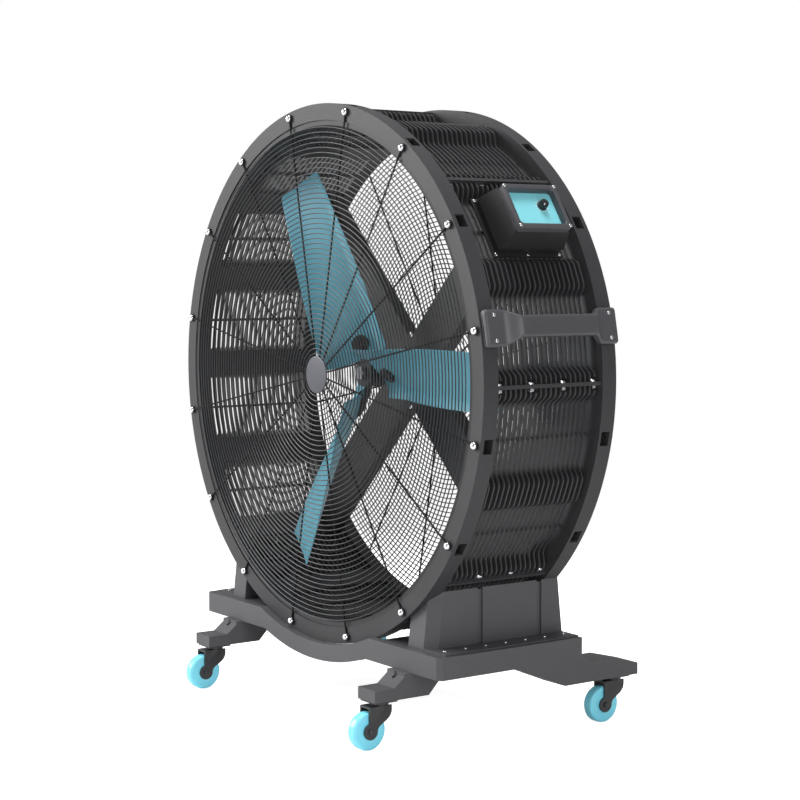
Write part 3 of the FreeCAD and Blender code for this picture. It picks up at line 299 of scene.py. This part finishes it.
# Wire guards: rings of round wire outside straight spokes, each spoke with an eye at its bolt
# The wire's radius places the layers; ring and spoke are the radii drawn, eye is the loop's radius
guard = {
    "wire": 0.0020, "ring": 0.0016, "spoke": 0.0026, "eye": 0.0078,
    "rings": 46, "pitch": 0.0139, "firstRing": 0.05945, "ringGap": 0.0002,
    "spokeStart": 0.020, "spokeEnd": 0.010, "spokeRows": 5, "spokeGap": 0.0001,
    "aroundRing": 144, "aroundWire": 8, "aroundEye": 28,
}


def wireGuard(name, side):
    around = fullTurn(guard["aroundRing"])
    section = fullTurn(guard["aroundWire"])
    radii = guard["firstRing"] + guard["pitch"] * np.arange(guard["rings"])
    ringY = side * (drum["halfDepth"] + 3 * guard["wire"] + guard["ringGap"])
    reach = radii[:, None, None] + guard["ring"] * np.cos(section)[None, None, :]
    x = reach * np.cos(around)[None, :, None]
    z = reach * np.sin(around)[None, :, None]
    y = np.broadcast_to(ringY + guard["ring"] * np.sin(section)[None, None, :], x.shape)
    rings = gridObject(name + "_rings", np.stack([x, y, axisZ + z], -1), wrapRows=True)

    spokeY = side * (drum["halfDepth"] + guard["spoke"] + guard["spokeGap"])
    centre = np.array([0, spokeY, axisZ])
    spokeStop = drum["boltCircle"] - guard["spokeEnd"]
    along = np.linspace(guard["spokeStart"], spokeStop, guard["spokeRows"])
    wide = guard["spoke"] * np.cos(section)
    deep = guard["spoke"] * np.sin(section)
    radial, across = drumAxes(np.radians(boltAngles))
    lengths = along[None, :, None, None] * radial[:, None, None, :]
    widths = wide[None, None, :, None] * across[:, None, None, :]
    depths = deep[None, None, :, None] * depthAxis
    bars = gridObject(name + "_spokes", lengths + widths + centre + depths)

    eyeTurn = fullTurn(guard["aroundEye"])
    middle = radial * drum["boltCircle"] + centre
    loop = guard["eye"] + guard["spoke"] * np.cos(section)
    ex = loop[None, :] * np.cos(eyeTurn)[:, None]
    ez = loop[None, :] * np.sin(eyeTurn)[:, None]
    ey = np.broadcast_to(deep[None, :], ex.shape)
    eyePoints = middle[:, None, None, :] + np.stack([ex, ey, ez], -1)[None]
    eyes = gridObject(name + "_eyes", eyePoints, wrapRows=True)

    finishPiece(rings, wireCoat, "fan_frame", name)
    finishPiece(joined(name + "_bars", [bars, eyes]), spokeCoat, "fan_frame")


for side, name in zip(faceSides, ("front_guard", "rear_guard")):
    wireGuard(name, side)

# Guard discs: a shallow dished disc with a rolled edge on each side
disc = {"radius": 0.0525, "thick": 0.004, "dish": 0.0025, "edge": 0.0016, "gap": 0.0003, "sides": 64}
discProfile = [
    (0.0, disc["thick"] + disc["dish"]),
    (0.018, disc["thick"] + disc["dish"] * 0.95),
    (0.038, disc["thick"] + disc["dish"] * 0.6),
    (0.047, disc["thick"] + 0.0003),
    (disc["radius"] - disc["edge"], disc["thick"]),
    (disc["radius"] - 0.0003, disc["thick"] - 0.0007),
    (disc["radius"], disc["thick"] / 2),
    (disc["radius"] - 0.0004, 0.0006),
    (disc["radius"] - disc["edge"], 0.0),
    (0.0, 0.0),
]
discBack = drum["halfDepth"] + 2 * guard["wire"] + disc["gap"]
discPlaces = [(0, side * discBack, axisZ) for side in faceSides]
discAxes = [(0, side, 0) for side in faceSides]
discs = turnedShape("guard_discs", discProfile, discPlaces, discAxes, disc["sides"])
finishPiece(discs, discCoat, "fan_frame", "guard_plates")
print("guards made")

# Guard bolts: a domed bright head at every spoke's eye, on a black ring that is partly a rubber washer
# and partly painted shadow round the head
boltHead = {
    "radius": 0.0100, "height": 0.0075, "sunk": 0.001, "gap": 0.0002, "sides": 24, "domeRows": 9,
    "washer": 0.0118, "washerThick": 0.0022, "washerSide": 0.0015, "washerBevel": 0.001,
}
dome = np.linspace(0, np.pi / 2, boltHead["domeRows"])
domeProfile = np.stack([boltHead["radius"] * np.cos(dome), boltHead["height"] * np.sin(dome)], -1)
headFoot = [(0.0, -boltHead["sunk"]), (boltHead["radius"], -boltHead["sunk"])]
headProfile = np.concatenate([headFoot, domeProfile])
washerShadowProfile = [
    (0.0, 0.0),
    (boltHead["washer"], 0.0),
    (boltHead["washer"], boltHead["washerSide"]),
    (boltHead["washer"] - boltHead["washerBevel"], boltHead["washerThick"]),
    (0.0, boltHead["washerThick"]),
]
seatY = drum["halfDepth"] + 2 * guard["wire"] + boltHead["gap"]


def boltPlaces(y):
    return np.concatenate([onDrum(drum["boltCircle"], boltAngles, side * y) for side in faceSides])


boltAxes = [(0, side, 0) for side in faceSides for _ in boltAngles]
headPlaces = boltPlaces(seatY + boltHead["washerThick"])
boltHeads = turnedShape("guard_bolt_heads", headProfile, headPlaces, boltAxes, boltHead["sides"])
finishPiece(boltHeads, brightPlate, "fan_frame", "guard_bolts")
# The black rings under the heads stand partly for washers and partly for each head's shadow, painted in
# black
washerShadowRings = turnedShape("guard_washer_shadow_rings", washerShadowProfile, boltPlaces(seatY), boltAxes, boltHead["sides"])
finishPiece(washerShadowRings, washerAndShadowBlack, "fan_frame")

# Segment joints: bright domed bolts on one side of each flange pair, six-sided nuts on the other
jointBolt = {
    "circle": 0.726, "depth": 0.310, "count": 4, "flange": 0.005, "radius": 0.0105, "height": 0.0080,
    "washer": 0.011, "washerThick": 0.0016, "neck": 0.0017, "shoulder": 0.0026, "sides": 20,
    "nutSides": 6, "nutSmooth": 20,
}


def jointPlaces(offset):
    count = jointBolt["count"]
    rows = jointBolt["depth"] / (count - 1) * (np.arange(count) - (count - 1) / 2)
    radial, across = drumAxes(np.radians(360 / drum["segments"] * np.arange(drum["segments"])))
    base = radial[:, None] * jointBolt["circle"] + across[:, None] * offset
    places = base + depthAxis * rows[None, :, None] + np.array([0, 0, axisZ])
    return places.reshape(-1, 3), np.repeat(across, count, axis=0)


jointFoot = [
    (0.0, 0.0),
    (jointBolt["washer"], 0.0),
    (jointBolt["washer"], jointBolt["washerThick"]),
    (jointBolt["radius"], jointBolt["neck"]),
]
jointRise = jointBolt["shoulder"] + (jointBolt["height"] - jointBolt["shoulder"]) * np.sin(dome)
jointDome = np.stack([jointBolt["radius"] * np.cos(dome), jointRise], -1)
jointProfile = np.concatenate([jointFoot, jointDome])
nutProfile = [
    (0.0, 0.0), (0.0104, 0.0), (0.0109, 0.0010), (0.0109, 0.0070),
    (0.0103, 0.0080), (0.0058, 0.0080), (0.0052, 0.0098), (0.0, 0.0100),
]
places, axes = jointPlaces(jointBolt["flange"])
heads = turnedShape("segment_bolt_heads", jointProfile, places, axes, jointBolt["sides"])
places, axes = jointPlaces(-jointBolt["flange"])
nuts = turnedShape("segment_hex_nuts", nutProfile, places, -axes,
                   jointBolt["nutSides"], jointBolt["nutSmooth"])
finishPiece(heads, brightPlate, "fan_frame", "segment_bolts")
finishPiece(nuts, brightPlate, "fan_frame")
print("bolts made")

# Blades: a thin bowed plate; pitch, chord and bow are parabolas along the span, corners are rounded
# The bow is flat over a seat for the clamp, behind the chord's middle, and falls away on both sides
# Spread and blunt shape the section's loop: its points along the chord and how square its edges are
blade = {
    "count": 3, "plane": -0.083, "root": 0.046, "flatEnd": 0.135, "tip": 0.630, "thick": 0.006,
    "pitch": (44.0, 27.0, 14.0), "chord": (0.196, 0.184, 0.158), "bow": (0.030, 0.018, 0.009),
    "seatBack": 0.0275, "seatHalf": 0.032, "tipRound": 0.012, "rootRound": 0.008, "roundShare": 0.999,
    "spread": 0.8, "blunt": 0.45, "rows": 90, "loop": 72, "smooth": 50,
}


# The value at a share of the span, from those at the root, the middle and the tip
def parabola(share, values):
    root, middle, tip = values
    return (root * (1 - share) * (1 - 2 * share) + middle * 4 * share * (1 - share)
            + tip * share * (2 * share - 1))


# What a rounded corner takes off the half chord, at a distance into the corner
def cornerTrim(size, distance):
    into = np.clip(distance, 0, size * blade["roundShare"])
    return size - np.sqrt(size ** 2 - into ** 2)


def signedPower(wave, power):
    return np.sign(wave) * np.abs(wave) ** power


def bladeGrid(turn):
    ends = (1 - np.cos(np.linspace(0, np.pi, blade["rows"]))) / 2
    r = blade["root"] + (blade["tip"] - blade["root"]) * ends
    share = np.clip((r - blade["flatEnd"]) / (blade["tip"] - blade["flatEnd"]), 0, 1)
    pitch = np.radians(parabola(share, blade["pitch"]))
    chord = parabola(share, blade["chord"])
    trim = (cornerTrim(blade["tipRound"], r - (blade["tip"] - blade["tipRound"]))
            + cornerTrim(blade["rootRound"], blade["root"] + blade["rootRound"] - r))
    half = chord / 2 - trim
    loop = fullTurn(blade["loop"])
    along = signedPower(np.cos(loop), blade["spread"])[None, :] * half[:, None]
    edge = signedPower(np.sin(loop), blade["blunt"])
    fromSeat = along + blade["seatBack"]
    beyond = np.clip(np.abs(fromSeat) - blade["seatHalf"], 0, None)
    room = chord[:, None] / 2 + np.sign(fromSeat) * blade["seatBack"] - blade["seatHalf"]
    bow = parabola(share, blade["bow"])[:, None] * (1 - (beyond / room) ** 2)
    depth = edge[None, :] * blade["thick"] / 2 + bow
    cp = np.cos(pitch)[:, None]
    sp = np.sin(pitch)[:, None]
    tangent = along * cp + depth * sp
    y = blade["plane"] - along * sp + depth * cp
    a = np.radians(turn)
    radial = np.broadcast_to(r[:, None], tangent.shape)
    x = radial * np.cos(a) - tangent * np.sin(a)
    return np.stack([x, y, axisZ + radial * np.sin(a) + tangent * np.cos(a)], -1)


for index in range(blade["count"]):
    node = "blade_%d" % (index + 1)
    points = bladeGrid(360 / blade["count"] * index)
    skin = gridObject(node + "_skin", points, smooth=blade["smooth"])
    finishPiece(skin, bladeNylon, "impeller", node)
print("blades made")


# A local frame on the drum: down the face, along the depth and outward from the axis
def placed(down, along, out, degrees):
    a = np.radians(degrees)
    x = out * np.cos(a) + down * np.sin(a)
    z = axisZ + out * np.sin(a) - down * np.cos(a)
    return np.stack(np.broadcast_arrays(x, along, z), -1)


# A rounded rectangle as a loop of points, the same count for any size
def roundedLoop(width, height, radius, corner=8):
    quarter = np.linspace(0, np.pi / 2, corner)
    turns = (quarter[None, :] + np.arange(4)[:, None] * np.pi / 2).reshape(-1)
    signs = np.repeat(np.array([[1, 1], [-1, 1], [-1, -1], [1, -1]]), corner, axis=0)
    middle = signs * (np.array([width, height]) / 2 - radius)
    return middle + radius * np.stack([np.cos(turns), np.sin(turns)], -1)


# Side handle: a loft from the front foot over the bar to the rear foot, all with rounded sections
handle = {
    "angle": 11.25, "slopeEnd": 0.116, "footEnd": 0.162, "end": 0.214, "footHeight": 0.095,
    "barHeight": 0.056, "footIn": 0.7502, "footOut": 0.772, "barIn": 0.772, "barOut": 0.800,
    "round": 0.009, "endRound": 0.006, "barRows": 10, "slopeRows": 14, "footRows": 6, "smooth": 60,
}
endTurn = np.linspace(0, np.pi / 2, handle["footRows"])[1:]
footStop = handle["end"] - handle["endRound"]
halfRun = np.concatenate([
    np.linspace(0, handle["slopeEnd"], handle["barRows"]),
    np.linspace(handle["slopeEnd"], handle["footEnd"], handle["slopeRows"])[1:],
    np.linspace(handle["footEnd"], footStop, handle["footRows"])[1:],
    handle["end"] - handle["endRound"] * (1 - np.sin(endTurn)),
])
along = np.concatenate([-halfRun[::-1], halfRun[1:]])
slope = handle["footEnd"] - handle["slopeEnd"]
share = np.clip((np.abs(along) - handle["slopeEnd"]) / slope, 0, 1)
share = share * share * (3 - 2 * share)
intoEnd = np.clip((np.abs(along) - handle["end"]) / handle["endRound"] + 1, 0, 1)
pinch = handle["endRound"] * (1 - np.sqrt(np.clip(1 - intoEnd ** 2, 0, 1)))
tall = handle["barHeight"] + (handle["footHeight"] - handle["barHeight"]) * share - 2 * pinch
inner = handle["barIn"] + (handle["footIn"] - handle["barIn"]) * share
outer = handle["barOut"] + (handle["footOut"] - handle["barOut"]) * share - pinch
# Each section is four corners, by their signs, with a quarter circle round each
corners = np.sign(roundedLoop(1.0, 1.0, 0.0001))
turns = roundedLoop(2.0, 2.0, 1.0)
cornerDown = corners[None, :, 0] * (tall / 2 - handle["round"])[:, None]
cornerOut = corners[None, :, 1] * ((outer - inner) / 2 - handle["round"])[:, None]
down = cornerDown + turns[None, :, 0] * handle["round"]
out = ((inner + outer) / 2)[:, None] + cornerOut + turns[None, :, 1] * handle["round"]
gripPoints = placed(down, along[:, None], out, handle["angle"])
grip = gridObject("side_handle_loft", gripPoints, smooth=handle["smooth"])
finishPiece(grip, boxPlastic, "fan_frame", "side_handle")

# Control panel's bezel: rounded outside and in, with a soft top edge
bezel = {
    "angle": 33.75, "middle": 0.0065, "down": 0.136, "along": 0.176, "low": 0.800, "high": 0.820,
    "windowDown": 0.106, "windowAlong": 0.150, "round": 0.012, "windowRound": 0.010,
    "edge": 0.003, "edgeRows": 5, "gap": 0.0002,
}


# The bezel's outer loop, moved in, and its window, moved out
def outerLoop(inset):
    return roundedLoop(bezel["down"] - 2 * inset, bezel["along"] - 2 * inset, bezel["round"] - inset)


def windowLoop(inset):
    return roundedLoop(bezel["windowDown"] + 2 * inset, bezel["windowAlong"] + 2 * inset,
                       bezel["windowRound"] + inset)


arc = np.linspace(0, np.pi / 2, bezel["edgeRows"])
insets = bezel["edge"] * (1 - np.cos(arc))
rises = bezel["high"] - bezel["edge"] * (1 - np.sin(arc))
foot = [bezel["low"] + bezel["gap"]]
loops = np.array([outerLoop(0)] + [outerLoop(inset) for inset in insets]
                 + [windowLoop(inset) for inset in insets[::-1]] + [windowLoop(0)])
levels = np.concatenate([foot, rises, rises[::-1], foot])
rimPoints = placed(loops[:, :, 0], bezel["middle"] + loops[:, :, 1], levels[:, None], bezel["angle"])
rim = gridObject("control_bezel", rimPoints, wrapRows=True)
finishPiece(rim, boxPlastic, "fan_frame", "control_panel_frame")

# Speed knob: a fluted skirt with a soft top
# Its profile gives a share of the radius, a height and how fluted it is there
knob = {"down": -0.013, "along": 0.0395, "low": 0.8006, "radius": 0.014,
        "flutes": 14, "depth": 0.05, "sides": 112}
knobProfile = np.array([
    (0.0, 0.0, 0), (1.0, 0.0, 0), (1.0, 0.0025, 0), (0.92, 0.0032, 1), (0.90, 0.010, 1),
    (0.87, 0.0150, 1), (0.80, 0.0172, 0.5), (0.68, 0.018, 0), (0.0, 0.0178, 0),
])
turn = fullTurn(knob["sides"])
wave = 0.5 + 0.5 * np.cos(knob["flutes"] * turn)[None, :]
reach = knob["radius"] * knobProfile[:, :1] * (1 - knob["depth"] * knobProfile[:, 2:] * wave)
capPoints = placed(knob["down"] + reach * np.cos(turn), knob["along"] + reach * np.sin(turn),
                   knob["low"] + knobProfile[:, 1:2], bezel["angle"])
finishPiece(gridObject("speed_knob_cap", capPoints), knobPhenolic, "speed_dial", "speed_knob")


# A flat bar on the panel or knob, from one radius to another in the direction of an angle
def dialBar(name, angle, start, end, width, low, high):
    a = np.radians(angle)
    length = np.array([start, end, end, start])
    side = np.array([-1, -1, 1, 1]) * width / 2
    upward = length * np.cos(a) - side * np.sin(a)
    right = length * np.sin(a) + side * np.cos(a)
    level = np.array([low, high])[:, None]
    return gridObject(name, placed(knob["down"] - upward, knob["along"] + right, level, bezel["angle"]))


# Knob's pointer: a white line let into its top
pointer = {"angle": -140.0, "start": 0.004, "end": 0.0112, "width": 0.0016,
           "low": 0.0165, "high": 0.0183}
pointerBar = dialBar("knob_pointer", pointer["angle"], pointer["start"], pointer["end"],
                     pointer["width"], knob["low"] + pointer["low"], knob["low"] + pointer["high"])
finishPiece(pointerBar, panelInk, "speed_dial")

# Dial print: eleven ticks, a ring and plain numbers round the knob
dial = {
    "first": -140.0, "step": 28.0, "ticks": 11, "tickIn": 0.0172, "tickOut": 0.0205,
    "tickWidth": 0.0009, "ringIn": 0.0156, "ringOut": 0.0164, "ringSides": 72, "numerals": 6,
    "letters": 0.0255, "size": 0.0062, "ink": 0.00015, "sunk": 0.0003, "panel": 0.8,
}
ticks = [dialBar("tick", dial["first"] + dial["step"] * k, dial["tickIn"], dial["tickOut"],
                 dial["tickWidth"], dial["panel"] - dial["sunk"], dial["panel"] + dial["ink"])
         for k in range(dial["ticks"])]
ringTurn = fullTurn(dial["ringSides"])
ringProfile = np.array([(dial["ringIn"], -dial["sunk"]), (dial["ringOut"], -dial["sunk"]),
                        (dial["ringOut"], dial["ink"]), (dial["ringIn"], dial["ink"])])
ringPoints = placed(knob["down"] + ringProfile[:, :1] * np.cos(ringTurn),
                    knob["along"] + ringProfile[:, :1] * np.sin(ringTurn),
                    dial["panel"] + ringProfile[:, 1:], bezel["angle"])
ring = gridObject("dial_ring", ringPoints, wrapRows=True)


def numeral(value, angle):
    curve = bpy.data.curves.new("numeral", "FONT")
    curve.body = str(value)
    curve.size = dial["size"]
    curve.align_x = "CENTER"
    curve.align_y = "CENTER"
    curve.extrude = dial["ink"]
    text = bpy.data.objects.new("numeral", curve)
    bpy.context.scene.collection.objects.link(text)
    mesh = bpy.data.meshes.new_from_object(text)
    bpy.data.objects.remove(text)
    co = meshPoints(mesh)
    a = np.radians(angle)
    upward = dial["letters"] * np.cos(a) + co[:, 1]
    right = dial["letters"] * np.sin(a) + co[:, 0]
    level = dial["panel"] + co[:, 2]
    points = placed(knob["down"] - upward, knob["along"] + right, level, bezel["angle"])
    return meshObject("numeral", points, [list(poly.vertices) for poly in mesh.polygons])


numerals = [numeral(2 * k, dial["first"] + 2 * dial["step"] * k) for k in range(dial["numerals"])]
finishPiece(joined("dial_print", ticks + [ring] + numerals), panelInk, "fan_frame")
print("handle and controls made")

# Caster wheels: solid, with a rounded tread and a faint recess on each flat side
wheel = {"bore": 0.0062, "half": 0.016, "recess": 0.0154, "recessEdge": 0.0156, "sides": 72}
sideProfile = [
    (wheel["bore"], -wheel["half"]), (0.0165, -wheel["half"]),
    (0.0178, -wheel["recessEdge"]), (0.0190, -wheel["recess"]),
    (0.0375, -wheel["recess"]), (0.0385, -wheel["recessEdge"]),
    (0.0396, -wheel["half"]), (0.0448, -wheel["half"]),
    (0.0475, -0.0150), (0.0493, -0.0125), (0.0500, -0.0095), (0.0500, -0.0040),
]
wheelProfile = np.array(sideProfile + [(radius, -level) for radius, level in sideProfile[::-1]])
spin = fullTurn(wheel["sides"])
cornerNames = ("front_left", "front_right", "rear_left", "rear_right")
for corner in cornerNames:
    low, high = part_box("caster_wheel_" + corner)
    middle = (np.array(low) + np.array(high)) / 2
    x = middle[0] + wheelProfile[:, 1:]
    y = middle[1] + wheelProfile[:, :1] * np.cos(spin)
    z = middle[2] + wheelProfile[:, :1] * np.sin(spin)
    points = np.stack(np.broadcast_arrays(x, y, z), -1)
    tread = gridObject("wheel_" + corner, points, wrapRows=True)
    finishPiece(tread, wheelUrethane, "wheel_" + corner, "caster_wheel_" + corner)
print("wheels made")

# The remaining pieces keep the CAD shape, with softened edges: node, material, body, edge radius
baseNodes = ("front_crossbeam", "rear_crossbeam", "side_beam_left", "side_beam_right",
             "front_outriggers", "upright_left", "upright_right")
softParts = [("drum_segment_%d" % k, drumPlastic, "fan_frame", 0.0018)
             for k in range(1, drum["segments"] + 1)]
softParts += [(node, basePlastic, "fan_frame", 0.0035) for node in baseNodes]
softParts += [
    ("control_box", shellPlastic, "fan_frame", 0.0020),
    ("control_panel", panelFilm, "fan_frame", 0.0003),
    ("cable_gland", knobPhenolic, "fan_frame", 0.0005),
    ("motor_housing", castPaint, "fan_frame", 0.0015),
    ("motor_rear_cover", castPaint, "fan_frame", 0.0015),
    ("impeller_hub", strutPaint, "impeller", 0.0015),
    ("blade_clamps", strutPaint, "impeller", 0.0012),
    ("blade_bolts", strutPaint, "impeller", 0.0006),
    ("shaft_nut", machinedSteel, "impeller", 0.0006),
    ("motor_shaft", machinedSteel, "impeller", 0.0006),
    ("motor_rotor", laminations, "impeller", 0.0006),
    ("motor_stator", laminations, "fan_frame", 0.0006),
    ("motor_bearings", machinedSteel, "fan_frame", 0.0004),
    ("drive_board", boardLaminate, "fan_frame", 0.0003),
    ("speed_potentiometer", machinedSteel, "fan_frame", 0.0003),
    ("strut_bolts", strutPaint, "fan_frame", 0.0006),
    ("body_screws", brightPlate, "fan_frame", 0.0005),
    ("caster_plates", casterPaint, "fan_frame", 0.0010),
]
softParts += [("motor_strut_%d" % k, strutPaint, "fan_frame", 0.0015) for k in range(1, 5)]
for corner in cornerNames:
    softParts += [("caster_fork_" + corner, casterPaint, "caster_" + corner, 0.0012),
                  ("caster_axle_" + corner, casterPaint, "caster_" + corner, 0.0006)]
for node, material, body, edge in softParts:
    finishPiece(softCopy(node, edge), material, body, node)
print("soft copies made:", len(softParts))

# Floor: white paper that glows a little to the camera, so that only a faint contact shadow shows
# It fades to plain white away from the fan; for all other rays it is just paper
ground = {"half": 14.0, "drop": 0.0002, "paper": (0.8, 0.8, 0.8, 1), "glow": 0.8,
          "fadeStart": 1.8, "fadeEnd": 3.5}
white = (1, 1, 1, 1)
floorMat = bpy.data.materials.new("white_paper_floor")
floorMat.use_nodes = True
tree = floorMat.node_tree
tree.nodes.clear()
rays = addNode(tree, "ShaderNodeLightPath")
paper = addNode(tree, "ShaderNodeBsdfDiffuse", None, {"Color": ground["paper"]})
glow = addNode(tree, "ShaderNodeEmission", None, {"Color": white, "Strength": ground["glow"]})
near = addNode(tree, "ShaderNodeAddShader", None, None, {0: (paper, 0), 1: (glow, 0)})
far = addNode(tree, "ShaderNodeEmission", None, {"Color": white, "Strength": 1.0})
spot = addNode(tree, "ShaderNodeTexCoord")
reach = addNode(tree, "ShaderNodeVectorMath", {"operation": "LENGTH"}, None, {0: (spot, "Object")})
fade = addNode(tree, "ShaderNodeMapRange", None, {1: ground["fadeStart"], 2: ground["fadeEnd"]},
               {0: (reach, "Value")})
seen = addNode(tree, "ShaderNodeMixShader", None, None, {0: (fade, 0), 1: (near, 0), 2: (far, 0)})
shown = addNode(tree, "ShaderNodeMixShader", None, None,
                {0: (rays, "Is Camera Ray"), 1: (paper, 0), 2: (seen, 0)})
addNode(tree, "ShaderNodeOutputMaterial", None, None, {"Surface": (shown, 0)})
floorSigns = np.array([[-1, -1, 0], [1, -1, 0], [1, 1, 0], [-1, 1, 0]], float)
floorPoints = ground["half"] * floorSigns - np.array([0, 0, ground["drop"]])
floor = meshObject("floor", floorPoints, [[0, 1, 2, 3]])
floor.data.materials.append(floorMat)

# World: white to the camera, a softer white for light
studio = {"light": 0.32, "camera": 1.0}
world = bpy.data.worlds.new("studio")
bpy.context.scene.world = world
world.use_nodes = True
tree = world.node_tree
tree.nodes.clear()
rays = addNode(tree, "ShaderNodeLightPath")
strength = addNode(tree, "ShaderNodeMapRange", None, {3: studio["light"], 4: studio["camera"]},
                   {0: (rays, "Is Camera Ray")})
sky = addNode(tree, "ShaderNodeBackground", None, {"Color": white}, {"Strength": (strength, 0)})
addNode(tree, "ShaderNodeOutputWorld", None, None, {"Surface": (sky, 0)})

# Lights: a broad key from the front left, a top light and a weak fill on the side
# Each has a name, a place, a size in metres and a power in watts
lamps = [
    ("key", (-5.3, -5.3, 3.8), 4.5, 640.0),
    ("top", (0.2, -0.6, 8.0), 3.6, 520.0),
    ("fill", (5.0, -1.5, 1.8), 2.5, 95.0),
]
centre = Vector((0, 0, axisZ))
for name, spot, size, power in lamps:
    light = bpy.data.lights.new(name, "AREA")
    light.size = size
    light.energy = power
    lamp = bpy.data.objects.new(name, light)
    lamp.location = spot
    lamp.rotation_euler = (centre - Vector(spot)).to_track_quat("-Z", "Y").to_euler()
    bpy.context.scene.collection.objects.link(lamp)

# Camera, fitted to the two rims
view = {"azimuth": 55.21, "elevation": 3.28, "distance": 5.2648, "tilt": 85.851, "heading": 54.668,
        "lens": 82.8, "sensor": 36.0}
az = math.radians(view["azimuth"])
el = math.radians(view["elevation"])
toCamera = Vector((math.sin(az) * math.cos(el), -math.cos(az) * math.cos(el), math.sin(el)))
camData = bpy.data.cameras.new("camera")
camData.lens = view["lens"]
camData.sensor_width = view["sensor"]
camData.sensor_fit = "HORIZONTAL"
cam = bpy.data.objects.new("camera", camData)
cam.location = centre + view["distance"] * toCamera
cam.rotation_euler = (math.radians(view["tilt"]), 0, math.radians(view["heading"]))
bpy.context.scene.collection.objects.link(cam)
bpy.context.scene.camera = cam
bpy.context.scene.view_settings.view_transform = "Standard"

print("stage ready")
